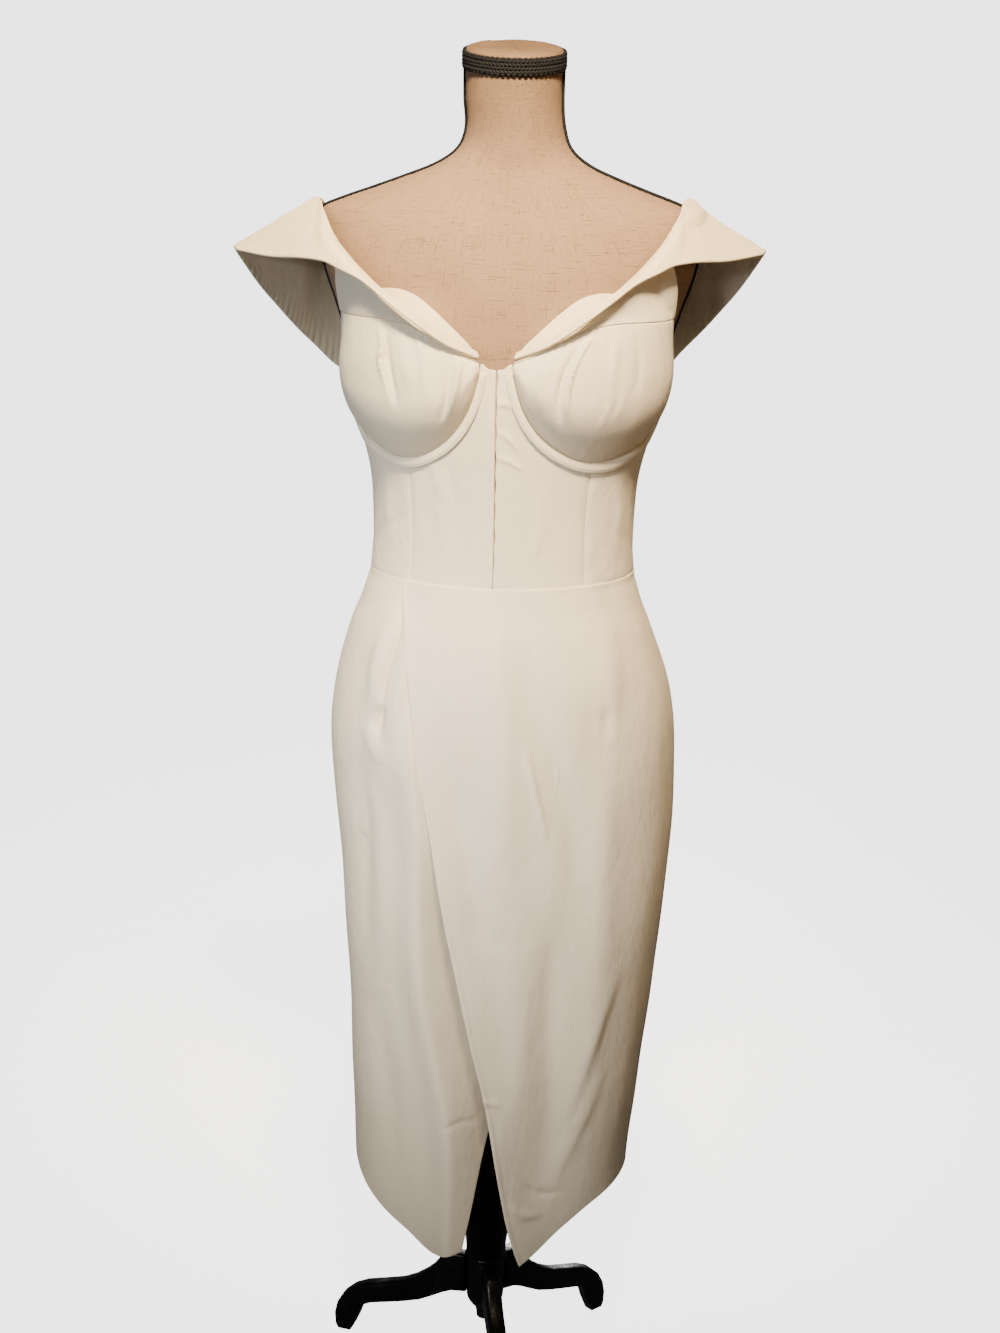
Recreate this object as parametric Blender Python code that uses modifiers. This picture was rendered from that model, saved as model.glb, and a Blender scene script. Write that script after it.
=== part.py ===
"""Ivory off-shoulder wrap dress on a limbless canvas dress form and its three-legged stand.

The form is a loft of level sections. Each piece of the dress is a sheet of cloth whose surface is worked
out from those sections, moved out by the layers beneath it. Left and right are the viewer's.
"""
import math

import bpy
from mathutils import Vector

# Driving dimensions, in metres. The stand's column runs up the Z axis of this design frame, +X is the
# viewer's right and +Y is behind; AXIS_X and AXIS_Y then centre the whole part over its footprint.
AXIS_X, AXIS_Y = 0.0095, 0.0175
DRESS_X = -0.0095      # the worn bodice sits this far to the viewer's left of the form's middle
CLOTH = 0.0016         # thickness of one layer with its turnings
CLEAR = 0.0006         # least air between the body's sections and the cloth
FORM_IN = 0.0009       # how far the canvas lies inside those sections
LAYER = CLEAR + CLOTH / 2        # middle of the first layer, measured out from the canvas
SEAM = 0.0005          # air between two pieces at a seam
WAIST_Z = 0.8450
FORM_BOTTOM_Z = 0.6000

BODY_RADIUS = 0.125    # typical radius, which turns a distance round the body into a bearing
DRESS_TURN = -0.100    # bearing of the dress's centre front, worn a little off the form's own
PRINCESS_LOW = 0.848
PRINCESS_STEP, WIRE_STEPS = 7, 14
UNDERARM_Z = 1.036
WAIST_DIP = 0.0065
WIRE_GAP = 0.0014
CASING_WIDTH = 0.0078
BAND_STEP = 0.0019      # the band starts this far above the top of the cup
PLACKET, PLACKET_LIFT = 0.0010, 0.0018
CUP_RISE, CUP_CREST = 0.026, 0.50
CUP_MIDDLE = (0.76, 1.035)
COLLAR_CLOTH = 0.0026
WING_LIFT = {"left": 0.0, "right": 0.007}
LAP = CLOTH + 0.0006
FOLD_OUT, TROUGH_IN, EDGE_OUT = 0.005, 0.014, 0.006
SIDE_HEM = {"left": 0.250, "right": 0.240}
BACK_HEM = 0.228
NECK_TOP_Z, NECK_TILT = 1.312, 0.21
TRIM_HEIGHT, TRIM_CLOTH = 0.0145, 0.0026
PIPING_RADIUS = {"left": 0.0014, "right": 0.0017}
LEG_WIDTH, LEG_ROUND = 0.017, 0.0018
LEGS = (("leg_front", -79.3), ("leg_right", 40.7), ("leg_left", 160.7))

# Top of the centre front panel, beside its dip.
GORE_TOP = [
    # bearing, z
    (0.000, 1.0366),
    (0.070, 1.0405),
    (0.125, 1.0455),
]

# Wire line of a cup, from beside the centre front, down and round to the underarm.
WIRE = [
    # bearing, z
    (0.135, 1.0340),
    (0.205, 1.0070),
    (0.305, 0.9876),
    (0.435, 0.9728),
    (0.605, 0.9612),
    (0.770, 0.9550),
    (0.975, 0.9548),
    (1.130, 0.9610),
    (1.295, 0.9700),
    (1.400, 0.9850),
    (1.450, 1.0050),
    (1.460, 1.0300),
]

# Seam between a cup and the band above it.
CUP_SEAM = [
    # bearing, z
    (0.150, 1.0400),
    (0.345, 1.0510),
    (0.530, 1.0635),
    (0.690, 1.0730),
    (0.840, 1.0785),
    (1.050, 1.0840),
]

# Top edge of the band under the collar, from the centre front to the underarm.
BAND_TOP = (
    # share, x, y, z
    (0.00, 0.0180, -0.1085, 1.0450),
    (0.20, 0.0420, -0.1172, 1.0574),
    (0.40, 0.0650, -0.1215, 1.0700),
    (0.58, 0.0895, -0.1165, 1.0865),
    (0.72, 0.1060, -0.1070, 1.0990),
    (0.82, 0.1190, -0.0970, 1.1100),
    (0.92, 0.1340, -0.0790, 1.1230),
    (1.00, 0.1470, -0.0590, 1.1330),
)

# Top line of the petal, with how far it reaches down behind the band.
PETAL = (
    # share, x, z, depth
    (0.00, 0.0195, 1.0505, 0.003),
    (0.18, 0.0260, 1.0590, 0.012),
    (0.36, 0.0400, 1.0725, 0.018),
    (0.54, 0.0560, 1.0870, 0.022),
    (0.70, 0.0720, 1.0985, 0.026),
    (0.85, 0.0880, 1.1035, 0.024),
    (1.00, 0.1040, 1.1035, 0.018),
)

# Front collar: neck edge (or ridge) and free edge, from the wing's tip to the centre front.
FRONT_COLLAR = (
    # share, upper x, y, z, lower x, y, z, camber
    (0.00, 0.2425, -0.0013, 1.1345, 0.2385, -0.0080, 1.1325, 0.000),
    (0.12, 0.2130, -0.0012, 1.1530, 0.2060, -0.0330, 1.1285, -0.002),
    (0.24, 0.1830, -0.0012, 1.1735, 0.1770, -0.0590, 1.1290, -0.005),
    (0.31, 0.1660, -0.0030, 1.1860, 0.1640, -0.0700, 1.1285, -0.007),
    (0.38, 0.1560, -0.0330, 1.1710, 0.1520, -0.0790, 1.1270, -0.007),
    (0.46, 0.1460, -0.0610, 1.1470, 0.1380, -0.0890, 1.1210, -0.005),
    (0.54, 0.1310, -0.0770, 1.1300, 0.1235, -0.0985, 1.1150, -0.003),
    (0.62, 0.1170, -0.0900, 1.1170, 0.1130, -0.1060, 1.1090, -0.001),
    (0.70, 0.1020, -0.1065, 1.1050, 0.1000, -0.1150, 1.0995, 0.000),
    (0.80, 0.0790, -0.1175, 1.0890, 0.0765, -0.1245, 1.0825, 0.000),
    (0.90, 0.0470, -0.1160, 1.0665, 0.0455, -0.1220, 1.0615, 0.000),
    (1.00, 0.0180, -0.1065, 1.0525, 0.0165, -0.1115, 1.0490, 0.000),
)

# Back collar: ridge (or neck edge) and hanging edge, from the wing's tip to the centre back.
BACK_COLLAR = (
    # share, upper x, y, z, lower x, y, z, camber
    (0.00, 0.2425, 0.0013, 1.1345, 0.2400, 0.0050, 1.1290, 0.000),
    (0.14, 0.2130, 0.0012, 1.1530, 0.2230, 0.0240, 1.1010, 0.003),
    (0.28, 0.1830, 0.0012, 1.1735, 0.2050, 0.0430, 1.0770, 0.006),
    (0.37, 0.1660, 0.0030, 1.1860, 0.1930, 0.0540, 1.0620, 0.008),
    (0.48, 0.1580, 0.0330, 1.1720, 0.1750, 0.0690, 1.0420, 0.006),
    (0.60, 0.1400, 0.0600, 1.1520, 0.1540, 0.0820, 1.0200, 0.003),
    (0.74, 0.1100, 0.0780, 1.1360, 0.1200, 0.0920, 1.0080, 0.000),
    (0.88, 0.0620, 0.0850, 1.1200, 0.0700, 0.0980, 1.0030, 0.000),
    (1.00, 0.0016, 0.0900, 1.1140, 0.0016, 0.1000, 1.0020, 0.000),
)

# Free edge of the skirt's overlap, from its hem point up to the waist.
OVERLAP_EDGE = (
    # z, x
    (0.1735, 0.0307),
    (0.2132, 0.0200),
    (0.2620, 0.0110),
    (0.3450, -0.0024),
    (0.4017, -0.0150),
    (0.4626, -0.0275),
    (0.5300, -0.0410),
    (0.6170, -0.0563),
    (0.6650, -0.0663),
    (0.7130, -0.0735),
    (0.7590, -0.0800),
    (0.8030, -0.0850),
    (0.8385, -0.0880),
)

# Free edge of the under panel: the slit's edge, then hidden under the overlap.
UNDER_EDGE = (
    # z, x
    (0.1850, -0.0230),
    (0.2240, -0.0160),
    (0.2740, -0.0076),
    (0.3150, 0.0012),
    (0.4000, 0.0160),
    (0.5300, 0.0360),
    (0.6600, 0.0540),
    (0.8385, 0.0700),
)

# Crest of the under panel's long fold.
FOLD_CREST = (
    # z, x
    (0.1800, -0.0330),
    (0.2700, -0.0330),
    (0.3300, -0.0370),
    (0.4000, -0.0510),
    (0.4540, -0.0600),
    (0.5300, -0.0650),
    (0.6200, -0.0660),
    (0.7300, -0.0780),
)

# Hem heights along each front panel, from its viewer's-left end.
UNDER_HEM = (
    # share, z
    (0.00, 0.2500),
    (0.20, 0.2300),
    (0.40, 0.2130),
    (0.60, 0.1960),
    (0.75, 0.1800),
    (0.85, 0.1790),
    (1.00, 0.1850),
)
OVERLAP_HEM = (
    # share, z
    (0.00, 0.1735),
    (0.15, 0.1880),
    (0.30, 0.2060),
    (0.50, 0.2240),
    (0.75, 0.2350),
    (1.00, 0.2400),
)

# Shares of a skirt panel's height at which its cloth has a row of points.
SKIRT_ROWS = ([0.0, 0.02, 0.08]
              + [0.08 + 0.0675 * k for k in range(1, 9)]
              + [0.62 + 0.38 * k / 11 for k in range(1, 12)])

# Heights at which the canvas torso has a ring of points.
FORM_ROWS = (FORM_BOTTOM_Z, 0.6025, 0.625, 0.66, 0.69, 0.72, 0.75, 0.78, 0.805, 0.83, 0.86, 0.90,
             0.94, 0.97, 1.00, 1.02, 1.04, 1.06, 1.08, 1.10, 1.12, 1.14, 1.158, 1.170, 1.176, 1.181,
             1.187, 1.193, 1.200, 1.207, 1.216, 1.228, 1.245, 1.27)

# Heights of the points that the piping runs through.
PIPING_ROWS = (1.285, 1.265, 1.245, 1.228, 1.216, 1.208, 1.202, 1.196, 1.190, 1.184, 1.179, 1.174,
               1.168, 1.155, 1.135, 1.115, 1.095, 1.075, 1.058, 1.044)

# Turned profiles of the stand, top to bottom.
COLUMN_PROFILE = (
    # radius, z
    (0.0, 0.5995), (0.0130, 0.5995), (0.0130, 0.3700), (0.0160, 0.3400), (0.0220, 0.3000),
    (0.0262, 0.2500), (0.0262, 0.1900), (0.0235, 0.1550), (0.0205, 0.1350), (0.0205, 0.1230),
    (0.0215, 0.1215), (0.0215, 0.1190), (0.0205, 0.1180), (0.0, 0.1180),
)
HUB_PROFILE = (
    # radius, z
    (0.0, 0.1177), (0.0192, 0.1177), (0.0192, 0.0790), (0.0180, 0.0730), (0.0140, 0.0660),
    (0.0090, 0.0600), (0.0080, 0.0495), (0.0, 0.0495),
)

# Side outline of a leg, from its top at the hub round the foot and back.
LEG_OUTLINE = (
    # radius from the column's axis, z
    (0.0200, 0.1175), (0.0400, 0.1175), (0.0450, 0.1140), (0.0500, 0.1060), (0.0580, 0.0950),
    (0.0670, 0.0870), (0.0780, 0.0790), (0.0920, 0.0720), (0.1120, 0.0660), (0.1330, 0.0600),
    (0.1470, 0.0530), (0.1580, 0.0430), (0.1650, 0.0310), (0.1680, 0.0180), (0.1670, 0.0060),
    (0.1640, 0.0000), (0.1500, 0.0000), (0.1460, 0.0080), (0.1410, 0.0190), (0.1380, 0.0280),
    (0.1340, 0.0340), (0.1260, 0.0380), (0.1070, 0.0430), (0.0890, 0.0480), (0.0710, 0.0540),
    (0.0580, 0.0610), (0.0460, 0.0680), (0.0350, 0.0730), (0.0200, 0.0750),
)

# Level sections of the body from hem to neck: half width, depth to front and back, and squareness.
BODY = (
    # z, half, front, back, power, shift
    (0.150, 0.1300, 0.0980, 0.1040, 2.10, 0.003),
    (0.240, 0.1345, 0.1000, 0.1060, 2.10, 0.003),
    (0.330, 0.1400, 0.1030, 0.1100, 2.10, 0.005),
    (0.430, 0.1473, 0.1060, 0.1150, 2.10, 0.008),
    (0.540, 0.1558, 0.1100, 0.1220, 2.10, 0.009),
    (0.620, 0.1608, 0.1120, 0.1270, 2.10, 0.007),
    (0.690, 0.1628, 0.1120, 0.1280, 2.15, 0.004),
    (0.740, 0.1550, 0.1090, 0.1220, 2.15, 0.002),
    (0.790, 0.1398, 0.1010, 0.1100, 2.10, 0.000),
    (0.815, 0.1296, 0.0950, 0.1010, 2.05, 0.000),
    (0.840, 0.1226, 0.0910, 0.0950, 2.00, 0.000),
    (0.865, 0.1198, 0.0900, 0.0930, 2.00, 0.000),
    (0.900, 0.1200, 0.0910, 0.0930, 2.00, 0.000),
    (0.935, 0.1228, 0.0940, 0.0950, 2.05, 0.000),
    (0.970, 0.1310, 0.0980, 0.0990, 2.10, 0.000),
    (1.000, 0.1400, 0.1010, 0.1020, 2.20, 0.000),
    (1.030, 0.1460, 0.1020, 0.1040, 2.25, 0.000),
    (1.060, 0.1500, 0.1010, 0.1040, 2.30, 0.000),
    (1.090, 0.1590, 0.0970, 0.1020, 2.35, 0.000),
    (1.120, 0.1690, 0.0910, 0.0980, 2.35, 0.000),
    (1.150, 0.1735, 0.0810, 0.0900, 2.30, 0.000),
    (1.172, 0.1715, 0.0690, 0.0790, 2.20, 0.000),
    (1.181, 0.1520, 0.0635, 0.0735, 2.10, 0.000),
    (1.190, 0.1270, 0.0580, 0.0670, 2.10, 0.000),
    (1.200, 0.1000, 0.0530, 0.0600, 2.10, 0.000),
    (1.212, 0.0710, 0.0485, 0.0540, 2.05, 0.001),
    (1.226, 0.0520, 0.0465, 0.0500, 2.00, 0.002),
    (1.245, 0.0445, 0.0455, 0.0485, 2.00, 0.002),
    (1.270, 0.0440, 0.0455, 0.0475, 2.00, 0.000),
    (1.330, 0.0450, 0.0460, 0.0470, 2.00, 0.000),
)


def read(table, at):
    """Later columns of a table at a value of its first column, on a smooth curve through the rows."""
    last = len(table) - 1
    i = 0
    while i < last - 1 and at > table[i + 1][0]:
        i += 1
    before, low, high, after = (table[min(max(k, 0), last)] for k in (i - 1, i, i + 1, i + 2))
    span = high[0] - low[0]
    t = (at - low[0]) / span
    values = []
    for c in range(1, len(low)):
        rise_low = (high[c] - before[c]) / (high[0] - before[0]) * span
        rise_high = (after[c] - low[c]) / (after[0] - low[0]) * span
        step = high[c] - low[c]
        values.append(low[c] + t * rise_low + t * t * (3 * step - 2 * rise_low - rise_high)
                      + t * t * t * (rise_low + rise_high - 2 * step))
    return values


def section(u, z):
    """Point of the bare body at the bearing u (0 at the front, + to the viewer's right) and height z."""
    half, front, back, power, shift = read(BODY, z)
    depth = front if math.cos(u) > 0 else back
    radius = (abs(math.sin(u) / half) ** power + abs(math.cos(u) / depth) ** power) ** (-1 / power)
    return Vector((shift + radius * math.sin(u), -radius * math.cos(u), z))


def bearing(x, z):
    """Bearing of the point that shows at x in the front view."""
    half, front, _, power, shift = read(BODY, z)
    side = min(abs(x - shift) / half, 0.9999)
    return math.copysign(math.atan2(side * half, front * (1 - side ** power) ** (1 / power)), x - shift)


def bust(x, z):
    """Height of the form's own low bust under the cups."""
    across = (abs(x - DRESS_X) - 0.080) / 0.062
    up = (z - 1.040) / 0.070
    return 0.018 * max(0.0, 1 - across * across - up * up) ** 2


def facing(u, z):
    """Point of the bare body and the direction straight out from it."""
    step = 0.0015
    across = section(u + 0.01, z) - section(u - 0.01, z)
    rise = section(u, z + step) - section(u, z - step)
    return section(u, z), across.cross(rise).normalized()


def skin(u, z, out, busted=False):
    """Point out from the body along its normal."""
    here, normal = facing(u, z)
    lift = bust(here.x, z) if busted and math.cos(u) > 0 else 0.0
    return here + normal * (out + lift)


def turned(side, b):
    """Bearing on the body of a place b round from the dress's own centre front, on one side."""
    return side * b + DRESS_TURN * (1 - b / (math.pi / 2))


def ramp(value, low, high):
    """0 below low, 1 above high, smooth between."""
    t = min(max((value - low) / (high - low), 0.0), 1.0)
    return t * t * (3 - 2 * t)


def along(points, count):
    """The same number of points as asked, evenly spaced along a line through the given ones."""
    lengths = [0.0]
    for a, b in zip(points, points[1:]):
        lengths.append(lengths[-1] + math.hypot((b[0] - a[0]) * BODY_RADIUS, b[1] - a[1]))
    out = []
    i = 0
    for k in range(count + 1):
        at = lengths[-1] * k / count
        while i < len(points) - 2 and at > lengths[i + 1]:
            i += 1
        t = (at - lengths[i]) / (lengths[i + 1] - lengths[i])
        out.append(tuple(p + (q - p) * t for p, q in zip(points[i], points[i + 1])))
    return out


def waist(u):
    """Height of the waist seam, which dips at the front."""
    return WAIST_Z - WAIST_DIP * max(0.0, math.cos(u)) ** 0.7


def resting(point, gap):
    """The point itself, or moved straight out where it would come nearer to the form than the gap."""
    for _ in range(4):
        shift = read(BODY, point.z)[4]
        u = math.atan2(point.x - shift, -point.y)
        here, normal = facing(u, point.z)
        lift = bust(here.x, point.z) if point.y < 0 else 0.0
        beyond = math.hypot(point.x - shift, point.y) - math.hypot(here.x - shift, here.y)
        short = gap + lift - beyond * math.hypot(normal.x, normal.y)
        if short <= 0:
            return point
        point = point + normal * short
    return point


def collar_gap(point):
    """Clearance of a collar from the form: more where it crosses the piping or lies on the bodice."""
    u = math.atan2(point.x, -point.y)
    over_piping = 0.0052 * math.exp(-((abs(u) - math.pi / 2) / 0.30) ** 2)
    over_bodice = 0.0010 * (1 - ramp(point.z, 1.040, 1.055))
    return 0.0036 + max(over_piping, over_bodice)


def plain_material(name, colour, roughness):
    """Finish of one colour."""
    material = bpy.data.materials.new(name)
    material.use_nodes = True
    shader = material.node_tree.nodes["Principled BSDF"]
    shader.inputs["Base Color"].default_value = (*colour, 1)
    shader.inputs["Roughness"].default_value = roughness
    shader.inputs["Metallic"].default_value = 0.0
    return material


def place(name, mesh, material):
    """Make a mesh an object of the part, smooth shaded, under the empty on the column's axis."""
    mesh.materials.clear()
    mesh.materials.append(material)
    mesh.shade_smooth()
    mesh.set_sharp_from_angle(angle=math.radians(40))
    thing = bpy.data.objects.new(name, mesh)
    collection.objects.link(thing)
    thing.parent = axis
    return thing


def sheet(name, rows, material, thickness=CLOTH):
    """Cloth: an open surface through rows of points, given its thickness to both sides."""
    count = len(rows[0])
    faces = [(r * count + c, r * count + c + 1, (r + 1) * count + c + 1, (r + 1) * count + c)
             for r in range(len(rows) - 1) for c in range(count - 1)]
    mesh = bpy.data.meshes.new(name)
    mesh.from_pydata([p for row in rows for p in row], [], faces)
    thing = place(name, mesh, material)
    wall = thing.modifiers.new("Cloth thickness", "SOLIDIFY")
    wall.thickness = thickness
    wall.offset = 0
    return thing


def ruled(lower, upper, rows, point):
    """Rows of points between two edges on the body, each an equal list of bearings and heights."""
    grid = []
    for r in range(rows + 1):
        t = r / rows
        grid.append([point(a[0] + (b[0] - a[0]) * t, a[1] + (b[1] - a[1]) * t)
                     for a, b in zip(lower, upper)])
    return grid


def turned_solid(name, profile, material, steps=24):
    """Round piece of the stand: half a profile, top to bottom, turned round the column's axis."""
    mesh = bpy.data.meshes.new(name)
    edges = [(i, i + 1) for i in range(len(profile) - 1)]
    mesh.from_pydata([(r, 0, z) for r, z in profile], edges, [])
    thing = place(name, mesh, material)
    turn = thing.modifiers.new("Turning", "SCREW")
    turn.steps = steps
    turn.render_steps = steps
    turn.use_merge_vertices = True
    turn.merge_threshold = 0.00005
    return thing


for old in list(bpy.data.objects):
    bpy.data.objects.remove(old)

collection = bpy.data.collections.new("off_shoulder_dress_on_form")
bpy.context.scene.collection.children.link(collection)
axis = bpy.data.objects.new("column_axis", None)
axis.location = (AXIS_X, AXIS_Y, 0)
collection.objects.link(axis)
bpy.context.view_layer.update()

IVORY = plain_material("ivory_cloth", (0.80, 0.76, 0.67), 0.62)
CANVAS = plain_material("canvas", (0.66, 0.56, 0.47), 0.88)
BLACK_BRAID = plain_material("black_braid", (0.012, 0.012, 0.013), 0.70)
BLACK_WOOD = plain_material("black_wood", (0.010, 0.009, 0.009), 0.32)
SIDES = (("left", -1), ("right", 1))


def bodice_front(side_name, side):
    """Centre and side front panels: from the waist seam up to the wire line and the top of the gore."""
    gap = SEAM / 2 / BODY_RADIUS

    def lifted(u, z):
        b = abs(u - turned(side, 0))
        return skin(u, z, LAYER + PLACKET_LIFT * math.exp(-(b / 0.16) ** 2))

    wire = along(WIRE, WIRE_STEPS)
    top = GORE_TOP + wire[:PRINCESS_STEP + 1]
    edges = []
    for k, (b, z) in enumerate(top):
        low = PRINCESS_LOW * k / (len(top) - 1)
        edges.append(((low, waist(low) + SEAM / 2), (b, z)))
    first, last = edges[0], edges[-1]
    edges[0] = tuple((b + 2 * gap, z) for b, z in first)
    edges[-1] = tuple((b - gap, z) for b, z in last)
    lower = [(turned(side, e[0][0]), e[0][1]) for e in edges]
    upper = [(turned(side, e[1][0]), e[1][1]) for e in edges]
    sheet("bodice_centre_front_" + side_name, ruled(lower, upper, 8, lifted), IVORY)

    start = wire[PRINCESS_STEP]
    top = [(start[0] + gap, start[1])] + wire[PRINCESS_STEP + 1:] + [(math.pi / 2 - gap, UNDERARM_Z)]
    lower = []
    for k in range(len(top)):
        b = PRINCESS_LOW + gap + (math.pi / 2 - PRINCESS_LOW - 2 * gap) * k / (len(top) - 1)
        lower.append((turned(side, b), waist(b) + SEAM / 2))
    upper = [(turned(side, b), z) for b, z in top]
    sheet("bodice_side_front_" + side_name, ruled(lower, upper, 8, lifted), IVORY)


def bodice_back(side_name, side):
    """Back panel: from the side seam to the centre back, its top under the back collar."""
    gap = SEAM / 2 / BODY_RADIUS
    first, last = math.pi / 2 + gap, math.pi - gap
    bearings = [side * (first + (last - first) * k / 10) for k in range(11)]
    lower = [(u, waist(u) + SEAM / 2) for u in bearings]
    upper = [(u, UNDERARM_Z - 0.004 * k / 10) for k, u in enumerate(bearings)]
    sheet("bodice_back_" + side_name, ruled(lower, upper, 7, lambda u, z: skin(u, z, LAYER)), IVORY)


def placket():
    """Strip behind the centre-front opening, seen through the opening and over its dip."""
    half = 0.011 / BODY_RADIUS
    bearings = [DRESS_TURN + half * k / 2 for k in (-2, -1, 0, 1, 2)]
    lower = [(u, waist(u) + 0.003) for u in bearings]
    upper = [(u, 1.034) for u in bearings]
    rows = ruled(lower, upper, 8, lambda u, z: skin(u, z, CLEAR + PLACKET / 2))
    sheet("front_placket", rows, IVORY, PLACKET)


def cup_point(side, lower, upper, s, t):
    """Point of a cup's cloth: s runs from the centre front to the underarm, t from the wire to its top."""
    b = lower[0] + (upper[0] - lower[0]) * t
    z = lower[1] + (upper[1] - lower[1]) * t
    swell = CUP_RISE * math.sin(math.pi * (0.05 + 0.93 * s) ** 0.86) ** 0.8
    if t < CUP_CREST:
        shape = math.sin(math.pi / 2 * t / CUP_CREST) ** 0.95
    else:
        shape = 1 - 0.28 * ((t - CUP_CREST) / (1 - CUP_CREST)) ** 2
    return skin(turned(side, b), z, LAYER + swell * shape)


def cup_edges():
    """The wire line a little inside, and the seam at the cup's top, as equal lists."""
    lower = along(WIRE, WIRE_STEPS)
    upper = along(CUP_SEAM, WIRE_STEPS)
    inner = []
    for b, z in lower:
        across, up = (CUP_MIDDLE[0] - b) * BODY_RADIUS, CUP_MIDDLE[1] - z
        reach = math.hypot(across, up)
        inner.append((b + across / reach * WIRE_GAP / BODY_RADIUS, z + up / reach * WIRE_GAP))
    return inner, upper


def cup(side_name, side):
    """Gathered cup, its underwire casing, the band above it and the petal that stands behind the band."""
    lower, upper = cup_edges()
    rows = []
    for t in (0.0, 0.06, 0.14, 0.24, 0.36, 0.50, 0.64, 0.76, 0.88, 1.0):
        rows.append([cup_point(side, a, b, k / WIRE_STEPS, t)
                     for k, (a, b) in enumerate(zip(lower, upper))])
    sheet("cup_" + side_name, rows, IVORY)

    outer = []
    inner = []
    for b, z in along(WIRE, WIRE_STEPS):
        across, up = (b - CUP_MIDDLE[0]) * BODY_RADIUS, z - CUP_MIDDLE[1]
        reach = math.hypot(across, up)
        for line, distance in ((inner, 0.0002), (outer, CASING_WIDTH)):
            line.append((turned(side, b + across / reach * distance / BODY_RADIUS),
                         z + up / reach * distance))
    lifted = LAYER + CLOTH + 0.0008 + PLACKET_LIFT * 0.35
    sheet("underwire_casing_" + side_name, ruled(inner, outer, 2, lambda u, z: skin(u, z, lifted)), IVORY)

    rows = [[], [], [], []]
    for k, (a, b) in enumerate(zip(lower, upper)):
        start = cup_point(side, a, b, k / WIRE_STEPS, 1.0) + Vector((0, 0, BAND_STEP))
        edge = Vector(read(BAND_TOP, k / WIRE_STEPS))
        edge.x = side * edge.x + DRESS_X
        for r, row in enumerate(rows):
            t = r / 3
            bulge = Vector((0, 0.003 * math.sin(math.pi * t), 0))
            row.append(resting(start.lerp(edge, t) + bulge, 0.0035))
    sheet("cup_band_" + side_name, rows, IVORY)

    columns = 12
    rows = []
    for r in range(4):
        row = []
        for k in range(columns + 1):
            x, z, depth = read(PETAL, k / columns)
            x = side * x + DRESS_X
            z -= depth * (1 - r / 3)
            row.append(skin(bearing(x, z), z, LAYER, busted=True))
        rows.append(row)
    sheet("petal_" + side_name, rows, IVORY)


def collar(side_name, side):
    """Front and back halves of the folded collar, joined along the ridge over the shoulder."""
    lift = WING_LIFT[side_name]
    for piece, table, stations, across in (("collar_front_", FRONT_COLLAR, 23, 6),
                                           ("collar_back_", BACK_COLLAR, 20, 6)):
        rows = []
        for r in range(across + 1):
            t = r / across
            row = []
            for k in range(stations + 1):
                s = k / stations
                values = read(table, s)
                upper, lower, camber = Vector(values[0:3]), Vector(values[3:6]), values[6]
                point = upper.lerp(lower, t)
                point.y += camber * math.sin(math.pi * t)
                shift = DRESS_X * (1 - ramp(s, 0.40, 0.95)) if table is BACK_COLLAR else DRESS_X
                point.x = side * point.x + shift
                point.z += lift * (1 - s)
                row.append(resting(point, collar_gap(point)))
            rows.append(row)
        sheet(piece + side_name, rows, IVORY, COLLAR_CLOTH)


def skirt_panel(name, low_edge, high_edge, hem, columns, out):
    """Skirt panel between two edges; each edge gives a bearing at a height, hem a height at a share."""
    rows = []
    for t in SKIRT_ROWS:
        row = []
        for k in range(columns + 1):
            s = k / columns
            foot = hem(s)
            z_left = hem(0) + (WAIST_Z - WAIST_DIP - hem(0)) * t
            z_right = hem(1) + (WAIST_Z - WAIST_DIP - hem(1)) * t
            u = low_edge(z_left) + (high_edge(z_right) - low_edge(z_left)) * s
            z = foot + (waist(u) - SEAM / 2 - foot) * t
            row.append(skin(u, z, out(u, z)))
        rows.append(row)
    sheet(name, rows, IVORY)


def overlap_bearing(z):
    """Bearing of the overlap's free edge at a height."""
    return bearing(read(OVERLAP_EDGE, z)[0], z)


def under_bearing(z):
    """Bearing of the under panel's free edge at a height."""
    return bearing(read(UNDER_EDGE, z)[0], z)


def under_out(u, z):
    """Under panel: a crest left of the wrap's edge, and a trough between the crest and the slit."""
    crest = bearing(read(FOLD_CREST, min(z, 0.73))[0], min(z, 0.73))
    low = 1 - ramp(z, 0.60, 0.73)
    crest_out = FOLD_OUT * low * math.exp(-((u - crest) / 0.13) ** 2)
    trough = TROUGH_IN * (1 - ramp(z, 0.40, 0.57)) * ramp(u, crest, crest + 0.17)
    return LAYER + crest_out - trough


def over_out(u, z):
    """Overlap: one layer further out, back to the first layer past the under panel's hidden edge."""
    edge = overlap_bearing(z)
    past = under_bearing(z)
    free = (1 - ramp(z, 0.55, 0.78)) * math.exp(-((u - edge) / 0.22) ** 2)
    layer = 1 - ramp(u, past + 0.06, past + 0.30)
    return LAYER + LAP * layer + EDGE_OUT * free


def skirt():
    """Two wrapped front panels and two back panels, from the hem up to the waist seam."""
    gap = SEAM / 2 / BODY_RADIUS
    side_seam = math.pi / 2 - gap
    skirt_panel("skirt_front_under", lambda z: -side_seam, under_bearing,
                lambda s: read(UNDER_HEM, s)[0], 14, under_out)
    skirt_panel("skirt_front_overlap", overlap_bearing, lambda z: side_seam,
                lambda s: read(OVERLAP_HEM, s)[0], 14, over_out)
    for side_name, side in SIDES:
        first, last = side * (math.pi / 2 + gap), side * (math.pi - gap)
        foot = SIDE_HEM[side_name]
        skirt_panel("skirt_back_" + side_name, lambda z: first, lambda z: last,
                    lambda s: foot + (BACK_HEM - foot) * ramp(s, 0, 1), 9,
                    lambda u, z: LAYER + back_fold(u, z))


def back_fold(u, z):
    """Two soft hanging folds on each side of the centre back, below the hips."""
    low = 1 - ramp(z, 0.40, 0.66)
    return 0.004 * low * math.sin(2 * (abs(u) - math.pi / 2) * 2) ** 2


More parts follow.
